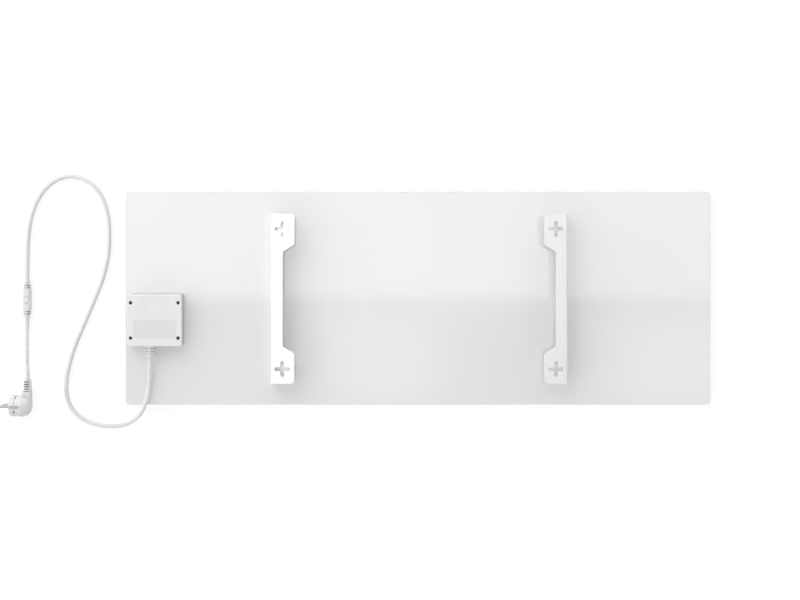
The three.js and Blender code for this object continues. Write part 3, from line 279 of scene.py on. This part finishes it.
# The curve through the points: each span is a cubic whose pace follows the square root of the
# distance between its points, so it neither loops nor overshoots.
def throughPoints(route, steps):
    knots = np.asarray(route, float)
    before = 2 * knots[0] - knots[1]
    after = 2 * knots[-1] - knots[-2]
    p = np.vstack([before, knots, after])
    pace = np.sqrt(np.linalg.norm(np.diff(p, axis=0), axis=1))
    t = np.arange(steps)[None, :, None] / steps
    p0, p1, p2, p3 = p[:-3, None], p[1:-2, None], p[2:-1, None], p[3:, None]
    d0, d1, d2 = (pace[i:len(pace) - 2 + i, None, None] for i in range(3))
    m1 = d1 * ((p1 - p0) / d0 - (p2 - p0) / (d0 + d1) + (p2 - p1) / d1)
    m2 = d1 * ((p2 - p1) / d1 - (p3 - p1) / (d1 + d2) + (p3 - p2) / d2)
    curve = (2 * t ** 3 - 3 * t ** 2 + 1) * p1 + (t ** 3 - 2 * t ** 2 + t) * m1
    curve += (3 * t ** 2 - 2 * t ** 3) * p2 + (t ** 3 - t ** 2) * m2
    return np.vstack([curve.reshape(-1, 3), knots[-1]])


# A round tube: at each point of the line, a ring in the plane across it. The ring's two directions are
# the line's direction crossed with the upright, and the line's direction crossed with that.
def makeCord(name, route, sizes):
    line = throughPoints(route, sizes["stepsPerSpan"])
    count, sides = len(line), sizes["sides"]
    along = np.gradient(line, axis=0)
    along /= np.linalg.norm(along, axis=1, keepdims=True)
    across = np.cross(along, (0.0, 0.0, 1.0))
    across /= np.linalg.norm(across, axis=1, keepdims=True)
    over = np.cross(across, along)
    turn = np.arange(sides) / sides * 2 * math.pi
    ring = np.cos(turn)[None, :, None] * across[:, None] + np.sin(turn)[None, :, None] * over[:, None]
    points = (line[:, None] + sizes["diameter"] / 2 * ring).reshape(-1, 3)
    i, j = np.meshgrid(np.arange(count - 1), np.arange(sides), indexing="ij")
    k = (j + 1) % sides
    quads = np.stack([i * sides + j, i * sides + k, (i + 1) * sides + k, (i + 1) * sides + j], -1)
    caps = [list(range(sides))[::-1], list(range((count - 1) * sides, count * sides))]
    tubePiece = meshFromArrays(name, points, quads.reshape(-1, 4).tolist() + caps)
    tidyNormals(tubePiece)
    smoothBelow(tubePiece, 50)
    length = float(np.linalg.norm(np.diff(line, axis=0), axis=1).sum())
    return tubePiece, line, length


cordLong, longLine, longLength = makeCord("cordLongSheath", longRoute, cordSizes)
cordShort, shortLine, shortLength = makeCord("cordShortSheath", shortRoute, cordSizes)
standFor(cordLong, ["cord_long"], "heater")
standFor(cordShort, ["cord_short"], "heater")
print("stage: cords laid,", round(longLength, 3), "m and", round(shortLength, 3), "m")


# ---------- materials ----------

def startMaterial(name, baseColour, roughness, **values):
    material = bpy.data.materials.new(name)
    material.use_nodes = True
    tree = material.node_tree
    shader = tree.nodes["Principled BSDF"]
    shader.inputs["Base Color"].default_value = linear(baseColour)
    shader.inputs["Roughness"].default_value = roughness
    for socket, value in values.items():
        shader.inputs[socket.replace("_", " ")].default_value = value
    place = addNode(tree, "ShaderNodeTexCoord").outputs["Object"]
    return material, tree, shader, place


# Noise whose blobs are about sizeMm across, stretched by the three factors.
def noise(tree, place, sizeMm, detail=2.0, stretch=(1, 1, 1)):
    scaled = addNode(tree, "ShaderNodeMapping", {"Vector": place, "Scale": stretch})
    return addNode(tree, "ShaderNodeTexNoise", {
        "Vector": scaled.outputs["Vector"], "Scale": 1000 / sizeMm, "Detail": detail
    }).outputs["Fac"]


def remap(tree, value, low, high, fromLow=0.3, fromHigh=0.7):
    return addNode(tree, "ShaderNodeMapRange", {
        "Value": value, "From Min": fromLow, "From Max": fromHigh, "To Min": low, "To Max": high
    }).outputs["Result"]


def blendColours(tree, factor, first, second):
    node = addNode(tree, "ShaderNodeMix", data_type="RGBA")
    tree.links.new(factor, node.inputs["Factor"])
    for socket, colour in ((node.inputs["A"], first), (node.inputs["B"], second)):
        if isinstance(colour, bpy.types.NodeSocket):
            tree.links.new(colour, socket)
        else:
            socket.default_value = linear(colour)
    return node.outputs["Result"]


def feed(shader, socket, value):
    shader.id_data.links.new(value, shader.inputs[socket])


def raiseSurface(tree, shader, height, distanceMm, strength=1.0):
    bump = addNode(tree, "ShaderNodeBump", {
        "Height": height, "Distance": distanceMm / 1000, "Strength": strength
    })
    tree.links.new(bump.outputs["Normal"], shader.inputs["Normal"])
    return bump


# Painted shade: the colour darkened in grooves and holes, where the surface is hidden from most directions and
# shade would fall.
def paintedShadeInHollows(tree, colour, reachMm, depth):
    hidden = addNode(tree, "ShaderNodeAmbientOcclusion", {"Distance": reachMm / 1000}, samples=8).outputs["AO"]
    openness = remap(tree, hidden, 0.15, 1.0, 1 - depth, 0.95)
    node = addNode(tree, "ShaderNodeVectorMath", {0: colour}, operation="SCALE")
    tree.links.new(openness, node.inputs["Scale"])
    return node.outputs["Vector"]


# Float glass, tempered, with white enamel fired on its back: an even milk white under a clear gloss.
# The enamel varies by a hundredth, and the temper's rollers leave a slow wave in the reflection.
def enamelledGlass(name, face, edge, waveMm):
    material, tree, shader, place = startMaterial(name, face, 0.07, IOR=1.5)
    cloud = remap(tree, noise(tree, place, 260, 1.0), 0.0, 1.0)
    shade = blendColours(tree, cloud, face, "#ededed")
    normal = addNode(tree, "ShaderNodeTexCoord").outputs["Normal"]
    upright = addNode(tree, "ShaderNodeSeparateXYZ", {"Vector": normal}).outputs["Z"]
    flat = addNode(tree, "ShaderNodeMath", {0: upright}, operation="ABSOLUTE").outputs[0]
    onFace = remap(tree, flat, 0.0, 1.0, 0.55, 0.95)
    feed(shader, "Base Color", blendColours(tree, onFace, edge, shade))
    smear = remap(tree, noise(tree, place, 45, 3.0), 0.055, 0.11)
    feed(shader, "Roughness", smear)
    raiseSurface(tree, shader, noise(tree, place, waveMm, 0.0, (1, 0.25, 1)), 0.02, 0.5)
    return material


# Aluminium sheet, bent and then satin anodised: soft white metal with fine lines from rolling along it.
# The milky oxide over it scatters part of the light, so it is given as metal for six tenths only.
def anodisedAluminium():
    material, tree, shader, place = startMaterial("satinAnodisedAluminium", "#eeeeee", 0.36, Metallic=0.6)
    lines = noise(tree, place, 0.9, 3.0, (1, 0.02, 1))
    tone = blendColours(tree, remap(tree, lines, 0, 1), "#ebebeb", "#f1f1f1")
    feed(shader, "Base Color", tone)
    feed(shader, "Roughness", remap(tree, noise(tree, place, 14, 3.0, (1, 0.3, 1)), 0.32, 0.42))
    raiseSurface(tree, shader, lines, 0.012, 0.35)
    return material


# ABS, injection moulded in a spark-eroded tool: even satin white with a grain of about half a millimetre, and,
# where asked, painted shade in its grooves and holes.
def grainedPlastic(name, colour, shadow, roughness, grainMm, depthMm, hollowShade=0.0):
    material, tree, shader, place = startMaterial(name, colour, roughness, IOR=1.5)
    cloud = remap(tree, noise(tree, place, 30, 2.0), 0.0, 1.0)
    shade = blendColours(tree, cloud, colour, shadow)
    if hollowShade:
        shade = paintedShadeInHollows(tree, shade, 4.0, hollowShade)
    feed(shader, "Base Color", shade)
    grain = noise(tree, place, grainMm, 2.0)
    feed(shader, "Roughness", remap(tree, grain, roughness - 0.05, roughness + 0.07))
    raiseSurface(tree, shader, grain, depthMm, 0.6)
    return material


# PVC, extruded or moulded over the cord: a soft white with a waxy gloss and slight handling marks, and, where
# asked, painted shade in its slots and holes.
def softVinyl(name, colour, shadow, roughness, markMm, hollowShade=0.0):
    material, tree, shader, place = startMaterial(
        name, colour, roughness, IOR=1.52, Subsurface_Weight=0.04, Subsurface_Scale=0.002
    )
    marks = noise(tree, place, markMm, 4.0)
    shade = blendColours(tree, remap(tree, marks, 0, 1), shadow, colour)
    if hollowShade:
        shade = paintedShadeInHollows(tree, shade, 4.0, hollowShade)
    feed(shader, "Base Color", shade)
    feed(shader, "Roughness", remap(tree, marks, roughness + 0.08, roughness - 0.05))
    raiseSurface(tree, shader, noise(tree, place, 1.2, 2.0), 0.01, 0.4)
    return material


# Turned or stamped metal with a plated skin: bright, with fine tool lines and duller patches.
def platedMetal(name, colour, shadow, roughness, lineMm):
    material, tree, shader, place = startMaterial(name, colour, roughness, Metallic=1.0)
    patches = noise(tree, place, 3.5, 3.0)
    feed(shader, "Base Color", blendColours(tree, remap(tree, patches, 0, 1), shadow, colour))
    feed(shader, "Roughness", remap(tree, patches, roughness + 0.12, roughness - 0.04))
    raiseSurface(tree, shader, noise(tree, place, lineMm, 2.0, (1, 1, 6)), 0.004, 0.4)
    return material


# Silicone, cured from a gun: milky and half clear, smooth where the panes pressed it.
def curedSilicone():
    material, tree, shader, place = startMaterial(
        "curedSilicone", "#dfe3df", 0.32, IOR=1.41, Subsurface_Weight=0.25, Subsurface_Scale=0.004
    )
    cloud = noise(tree, place, 9, 3.0)
    feed(shader, "Base Color", blendColours(tree, remap(tree, cloud, 0, 1), "#d6dbd7", "#e4e7e4"))
    raiseSurface(tree, shader, noise(tree, place, 5, 2.0), 0.05, 0.5)
    return material


# Closed-cell foam with adhesive on both faces, die cut: tiny round cells, with painted shade darkening their
# hollows.
def cellFoam():
    material, tree, shader, place = startMaterial("closedCellFoam", "#d3d3ce", 0.85, IOR=1.45)
    cells = addNode(tree, "ShaderNodeTexVoronoi", {"Vector": place, "Scale": 2200}).outputs["Distance"]
    # Painted shade: the colour is darker at each cell's middle, where the bump makes a hollow.
    feed(shader, "Base Color", blendColours(tree, remap(tree, cells, 0, 1, 0.1, 0.6), "#b9b9b4", "#dadad6"))
    raiseSurface(tree, shader, cells, 0.12, 0.7)
    return material


# Carbon ink screen-printed on polyester film: near black with even stripes across the film.
def printedCarbon():
    material, tree, shader, place = startMaterial("printedCarbonFilm", "#1c1c1f", 0.5, IOR=1.6)
    stripes = addNode(tree, "ShaderNodeTexWave", {
        "Vector": place, "Scale": 1000 / 12 / (2 * math.pi), "Distortion": 0.0
    }, wave_profile="SIN", bands_direction="X").outputs["Fac"]
    inked = remap(tree, stripes, 0, 1, 0.15, 0.25)
    feed(shader, "Base Color", blendColours(tree, inked, "#55504a", "#1a1a1d"))
    feed(shader, "Roughness", remap(tree, noise(tree, place, 2, 4.0), 0.42, 0.6))
    raiseSurface(tree, shader, inked, 0.02, 0.4)
    return material


# Mica flakes bonded with resin and pressed: warm grey-beige with glinting flakes a few millimetres wide.
def pressedMica():
    material, tree, shader, place = startMaterial("pressedMica", "#d4cab6", 0.4, IOR=1.58)
    flakes = addNode(tree, "ShaderNodeTexVoronoi", {"Vector": place, "Scale": 320})
    flaked = remap(tree, flakes.outputs["Distance"], 0, 1, 0.0, 0.8)
    feed(shader, "Base Color", blendColours(tree, flaked, "#e2dac8", "#bcae95"))
    feed(shader, "Roughness", remap(tree, noise(tree, place, 4, 2.0), 0.25, 0.55))
    raiseSurface(tree, shader, flakes.outputs["Distance"], 0.03, 0.5)
    return material


# Aluminium foil, bright rolled: mirror-like, broken by shallow creases tens of millimetres long, with painted
# shade along them.
def rolledFoil():
    material, tree, shader, place = startMaterial("brightRolledFoil", "#e6e6e8", 0.18, Metallic=1.0)
    folds = addNode(tree, "ShaderNodeTexVoronoi", {"Vector": place, "Scale": 40}, feature="DISTANCE_TO_EDGE")
    creases = folds.outputs["Distance"]
    feed(shader, "Roughness", remap(tree, noise(tree, place, 18, 3.0), 0.12, 0.28))
    # Painted shade: the colour is darker along the creases' lines.
    feed(shader, "Base Color", blendColours(tree, remap(tree, creases, 0, 1, 0.0, 0.05), "#cfcfd2", "#e8e8ea"))
    raiseSurface(tree, shader, creases, 0.4, 0.5)
    return material


# Earth wire insulation, two-coloured by extrusion: green with a yellow band down one side.
def earthInsulation():
    material, tree, shader, place = startMaterial("earthWireVinyl", "#4f8f3a", 0.35, IOR=1.52)
    normal = addNode(tree, "ShaderNodeTexCoord").outputs["Normal"]
    up = addNode(tree, "ShaderNodeSeparateXYZ", {"Vector": normal}).outputs["Z"]
    feed(shader, "Base Color", blendColours(tree, remap(tree, up, 0, 1, 0.15, 0.25), "#4f8f3a", "#e0cc2e"))
    raiseSurface(tree, shader, noise(tree, place, 1.0, 2.0), 0.01, 0.4)
    return material


finishes = {
    "front_glass": enamelledGlass("whiteEnamelledFrontGlass", "#ededed", "#cfe0d8", 180),
    "rear_glass": enamelledGlass("whiteEnamelledRearGlass", "#f0f0f0", "#d3e2da", 220),
    "carbon_film": printedCarbon(),
    "copper_strip": platedMetal("rolledCopperStrip", "#d99a77", "#b87a58", 0.28, 0.8),
    "mica_sheet": pressedMica(),
    "reflector_foil": rolledFoil(),
    "clear_silicone": curedSilicone(),
    "bracket_metal": anodisedAluminium(),
    "foam_tape": cellFoam(),
    # The last number is the depth of painted shade in the box cover's hollows.
    "box_plastic": grainedPlastic("sparkGrainedAbs", "#f5f5f5", "#f0f0f0", 0.42, 0.7, 0.05, 0.8),
    # The lower shell's grey is painted shade: the shell is made darker so that its walls look shaded.
    "box_base_plastic": grainedPlastic("shadeGreySparkGrainedAbs", "#b9b9b9", "#b3b3b3", 0.48, 0.7, 0.05),
    "grey_rubber": softVinyl("mouldedGreySilicone", "#8f9090", "#7f8080", 0.6, 6),
    "zinc_screw": platedMetal("brightZincPlate", "#d5d7d9", "#a9abad", 0.26, 0.5),
    "cord_sheath": softVinyl("extrudedWhiteVinyl", "#f0f0f0", "#e6e6e6", 0.38, 14),
    "clear_nylon": grainedPlastic("naturalNylon", "#e3e0d6", "#d8d4c8", 0.4, 1.2, 0.03),
    "brass_screw": platedMetal("turnedBrass", "#d9bd74", "#a98d48", 0.25, 0.5),
    "limiter_case": grainedPlastic("mouldedPhenolic", "#2a2522", "#1f1b19", 0.3, 0.8, 0.02),
    "wire_earth": earthInsulation(),
    "wire_blue": softVinyl("blueWireVinyl", "#3a69b0", "#315a98", 0.35, 5),
    "wire_brown": softVinyl("brownWireVinyl", "#6e4430", "#5d3826", 0.35, 5),
    # The last number is the depth of painted shade in the switch's grooves.
    "switch_plastic": grainedPlastic("satinMouldedAbs", "#f0f0ef", "#eaeae9", 0.3, 0.5, 0.012, 0.85),
    "rocker_plastic": grainedPlastic("polishedMouldedAbs", "#f2f2f1", "#ededec", 0.2, 0.5, 0.006),
    # The screws' dark grey is painted shade, standing for the shade deep in their recesses.
    "cover_screw": platedMetal("shadeDarkZincPlate", "#6a6c6f", "#4a4c4f", 0.34, 0.5),
    "steel_pin": platedMetal("groundSteel", "#b8b8b8", "#8f8f8f", 0.3, 0.4),
    "contact_brass": platedMetal("stampedBrass", "#e0c47e", "#b59a58", 0.25, 0.6),
    # The last number is the depth of painted shade in the plug's slots and holes.
    "plug_plastic": softVinyl("overmouldedVinyl", "#f0f0f0", "#e6e6e6", 0.42, 9, 0.85),
    "carrier_plastic": grainedPlastic("mouldedPolyamide", "#d6d6d4", "#cbcbc9", 0.45, 0.8, 0.02),
    "nickel_pin": platedMetal("nickelPlatedBrass", "#b4b4b5", "#a2a2a3", 0.24, 0.5)
}
# Pieces shown in a finish other than their slot's: the box's lower shell, greyed as painted shade, and the
# screws, darkened as painted shade.
ownFinish = {"box_base": "box_base_plastic"}
ownFinish.update({f"cover_screw_{i}": "cover_screw" for i in range(1, 5)})


def paint(piece, slotName):
    piece.data.materials.clear()
    piece.data.materials.append(finishes[slotName])


for nodeName, node in nodes.items():
    for place in node.material_slots:
        place.material = finishes[ownFinish.get(nodeName, slotOfNode[nodeName])]
for cordPiece in (cordLong, cordShort):
    paint(cordPiece, "cord_sheath")
for nodeName, piece in softPieces.items():
    paint(piece, ownFinish.get(nodeName, slotOfNode[nodeName]))
print("stage: materials made,", len(finishes), "finishes")


# ---------- the box's bare label ----------

labelSizes = {"left": -0.530, "right": -0.452, "top": -0.040, "bottom": -0.072, "seat": 0.0376,
              "thickness": 0.00018, "cornerRadius": 0.0012, "cornerSteps": 6}


# A rounded rectangle: four quarter circles around the corners' centres, joined by straight sides.
def roundedOutline(x0, x1, y0, y1, radius, steps):
    angles = np.linspace(0, math.pi / 2, steps)
    left, right, bottom, top = x0 + radius, x1 - radius, y0 + radius, y1 - radius
    centres = [(right, top), (left, top), (left, bottom), (right, bottom)]
    arcs = [
        np.c_[cx + radius * np.cos(angles + i * math.pi / 2), cy + radius * np.sin(angles + i * math.pi / 2)]
        for i, (cx, cy) in enumerate(centres)
    ]
    return np.vstack(arcs)


def makeLabel(s):
    edge = roundedOutline(s["left"], s["right"], s["bottom"], s["top"], s["cornerRadius"], s["cornerSteps"])
    count = len(edge)
    low = np.c_[edge, np.full(count, s["seat"])]
    high = np.c_[edge, np.full(count, s["seat"] + s["thickness"])]
    ring = np.arange(count)
    following = (ring + 1) % count
    sides = np.c_[ring, following, following + count, ring + count].tolist()
    faces = sides + [list(range(count))[::-1], list(range(count, 2 * count))]
    mesh = bpy.data.meshes.new("boxLabel")
    mesh.from_pydata(np.vstack([low, high]).tolist(), [], faces)
    mesh.update()
    return newObject("boxLabel", mesh)


# Polyester label film, printed matt and left bare: a shade greyer than the box, with a faint sheen.
def labelFilm():
    material, tree, shader, place = startMaterial("mattLabelFilm", "#e9e9e9", 0.5, IOR=1.5)
    cloud = noise(tree, place, 12, 3.0)
    feed(shader, "Base Color", blendColours(tree, remap(tree, cloud, 0, 1), "#e7e7e7", "#ebebeb"))
    raiseSurface(tree, shader, noise(tree, place, 0.8, 2.0), 0.008, 0.4)
    return material


boxLabel = makeLabel(labelSizes)
boxLabel.data.materials.append(labelFilm())
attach(boxLabel, "heater")
print("stage: label laid on the box")


# ---------- floor, light and background ----------

studio = {
    "skyStrength": 1.05,
    "skyLow": 2.0,              # the sky is brighter near the horizon than overhead, so shadows fall all round
    "skyHigh": 0.05,
    "skyLean": (-0.34, 0.16),   # and brighter towards the upper left
    "mirroredLean": (-0.9, 1.0),
    "mirroredHigh": 1.10,
    "mirroredLeast": 0.78,
    "mirroredMost": 1.3,
    "keyRadiance": 1.4,
    "keyCentre": (-1.3, 2.0, 1.9),
    "keySize": (1.6, 1.6),
    "cardRadiance": 2.6,
    "cardCentre": (0.10, 0.205, 2.5),
    "cardSize": (3.6, 0.66),
    "paneGlowRadiance": 1.7,      # two soft patches that the panes mirror below the card's edge
    "paneGlows": [((0.03, -0.40, 2.5), (0.85, 0.66)), ((1.45, -0.40, 2.5), (1.5, 0.70))],
    "bracketCardRadiance": 2.6,
    "bracketCardCentre": (-0.62, 0.60, 2.4),
    "bracketCardSize": (1.1, 1.3),
    "overheadRadiance": 6.5,
    "overheadCentre": (-0.15, -0.10, 2.4),
    "overheadSize": (0.5, 0.5),
    "floorHalf": 9.0,
    "floorDrop": 0.0002,        # just clear of the front pane's face, and clear from below
    "floorColour": "#8f8f8f",
    "floorGlow": 0.80
}


def makeLamp(name, centre, aim, size, radiance):
    lamp = bpy.data.lights.new(name, "AREA")
    lamp.shape = "RECTANGLE"
    lamp.size, lamp.size_y = size
    lamp.energy = radiance * math.pi * size[0] * size[1]
    made = newObject(name, lamp)
    made.location = centre
    made.rotation_euler = (Vector(aim) - Vector(centre)).to_track_quat("-Z", "Y").to_euler()
    return made


# The lamp fades to nothing at its four sides: its strength is the product of two smooth steps, one of
# the distance from the nearer side in each direction.
def softenLamp(lamp):
    lamp.use_nodes = True
    tree = lamp.node_tree
    place = addNode(tree, "ShaderNodeNewGeometry").outputs["Parametric"]
    across = addNode(tree, "ShaderNodeSeparateXYZ", {"Vector": place}).outputs
    product = None
    for side in ("X", "Y"):
        centred = addNode(tree, "ShaderNodeMath", {0: across[side], 1: 0.5}, operation="SUBTRACT").outputs[0]
        away = addNode(tree, "ShaderNodeMath", {0: centred}, operation="ABSOLUTE").outputs[0]
        step = addNode(tree, "ShaderNodeMapRange", {
            "Value": away, "From Min": 0.5, "From Max": 0.12, "To Min": 0.0, "To Max": 1.0
        }, interpolation_type="SMOOTHSTEP").outputs["Result"]
        product = step if product is None else addNode(
            tree, "ShaderNodeMath", {0: product, 1: step}, operation="MULTIPLY"
        ).outputs[0]
    tree.links.new(product, tree.nodes["Emission"].inputs["Strength"])


def showOnlyIn(card, groupName, nodeNames):  # a bright card that is mirrored by these pieces and lights none
    group = bpy.data.collections.new(groupName)
    for name in nodeNames:
        group.objects.link(softPieces[name])
    card.light_linking.receiver_collection = group
    card.visible_diffuse = False


# The sky's strength in a direction: a straight run from low at the horizon to high overhead, times one
# plus the direction's share of the lean.
def skyStrength(tree, low, high, lean):
    direction = addNode(tree, "ShaderNodeTexCoord").outputs["Generated"]
    height = addNode(tree, "ShaderNodeSeparateXYZ", {"Vector": direction}).outputs["Z"]
    fall = remap(tree, height, low, high, 0, 1)
    share = addNode(tree, "ShaderNodeVectorMath", {0: direction, 1: (*lean, 0)}, operation="DOT_PRODUCT")
    tilted = addNode(tree, "ShaderNodeMath", {0: share.outputs["Value"], 1: 1.0}, operation="ADD").outputs[0]
    return addNode(tree, "ShaderNodeMath", {0: fall, 1: tilted}, operation="MULTIPLY").outputs[0]


def eitherRay(tree, first, second):  # one where a ray is of either kind, otherwise nought
    return addNode(tree, "ShaderNodeMath", {0: first, 1: second}, operation="MAXIMUM").outputs[0]


def makeStudio(s):
    world = bpy.data.worlds.new("studio")
    bpy.context.scene.world = world
    world.use_nodes = True
    tree = world.node_tree
    tree.nodes.clear()
    rays = addNode(tree, "ShaderNodeLightPath").outputs
    dim = skyStrength(tree, s["skyLow"] * s["skyStrength"], s["skyHigh"] * s["skyStrength"], s["skyLean"])
    soft = addNode(tree, "ShaderNodeBackground", {"Color": (1, 1, 1, 1), "Strength": dim})
    bright = skyStrength(tree, 1.0, s["mirroredHigh"], s["mirroredLean"])
    limits = {"Value": bright, "Min": s["mirroredLeast"], "Max": s["mirroredMost"]}
    bright = addNode(tree, "ShaderNodeClamp", limits).outputs[0]
    mirrored = addNode(tree, "ShaderNodeBackground", {"Color": (1, 1, 1, 1), "Strength": bright})
    white = addNode(tree, "ShaderNodeBackground", {"Color": (1, 1, 1, 1), "Strength": 1.0})
    mixed = addNode(tree, "ShaderNodeMixShader", {
        0: rays["Is Glossy Ray"], 1: soft.outputs[0], 2: mirrored.outputs[0]
    })
    through = eitherRay(tree, rays["Is Camera Ray"], rays["Is Transmission Ray"])
    mixed = addNode(tree, "ShaderNodeMixShader", {0: through, 1: mixed.outputs[0], 2: white.outputs[0]})
    addNode(tree, "ShaderNodeOutputWorld", {"Surface": mixed.outputs[0]})

    makeLamp("keySoftbox", s["keyCentre"], (0, 0, 0), s["keySize"], s["keyRadiance"])
    below = (s["cardCentre"][0], s["cardCentre"][1], 0)
    card = makeLamp("ceilingCard", s["cardCentre"], below, s["cardSize"], s["cardRadiance"])
    showOnlyIn(card, "panes", ("rear_glass", "front_glass"))
    for centre, size in s["paneGlows"]:
        glow = makeLamp("paneGlow", centre, (centre[0], centre[1], 0), size, s["paneGlowRadiance"])
        softenLamp(glow.data)
        showOnlyIn(glow, "panesForGlow", ("rear_glass", "front_glass"))
    card = makeLamp(
        "bracketCard", s["bracketCardCentre"], (-0.1, 0, 0), s["bracketCardSize"], s["bracketCardRadiance"]
    )
    showOnlyIn(card, "brackets", ("bracket_left", "bracket_right"))
    overhead = makeLamp(
        "overheadLamp", s["overheadCentre"], (0, 0, 0), s["overheadSize"], s["overheadRadiance"]
    )
    overhead.visible_glossy = False

    half, low = s["floorHalf"], -s["floorDrop"]
    corners = [(-half, -half, low), (half, -half, low), (half, half, low), (-half, half, low)]
    floor = meshFromArrays("floor", corners, [(0, 1, 2, 3)])
    material = bpy.data.materials.new("paleFloor")
    material.use_nodes = True
    tree = material.node_tree
    shader = tree.nodes["Principled BSDF"]
    shader.inputs["Base Color"].default_value = linear(s["floorColour"])
    shader.inputs["Roughness"].default_value = 0.9
    shader.inputs["Specular IOR Level"].default_value = 0.0
    rays = addNode(tree, "ShaderNodeLightPath")
    seen = eitherRay(tree, rays.outputs["Is Camera Ray"], rays.outputs["Is Glossy Ray"])
    glow = addNode(tree, "ShaderNodeMath", {0: seen, 1: s["floorGlow"]}, operation="MULTIPLY")
    light = addNode(tree, "ShaderNodeEmission", {"Color": (1, 1, 1, 1), "Strength": glow.outputs[0]})
    both = addNode(tree, "ShaderNodeAddShader", {0: shader.outputs[0], 1: light.outputs[0]})
    under = addNode(tree, "ShaderNodeNewGeometry").outputs["Backfacing"]
    clear = addNode(tree, "ShaderNodeBsdfTransparent")
    sided = addNode(tree, "ShaderNodeMixShader", {0: under, 1: both.outputs[0], 2: clear.outputs[0]})
    tree.links.new(sided.outputs[0], tree.nodes["Material Output"].inputs["Surface"])
    floor.data.materials.append(material)


makeStudio(studio)
bpy.context.scene.view_settings.view_transform = "Standard"
print("stage: studio lit")
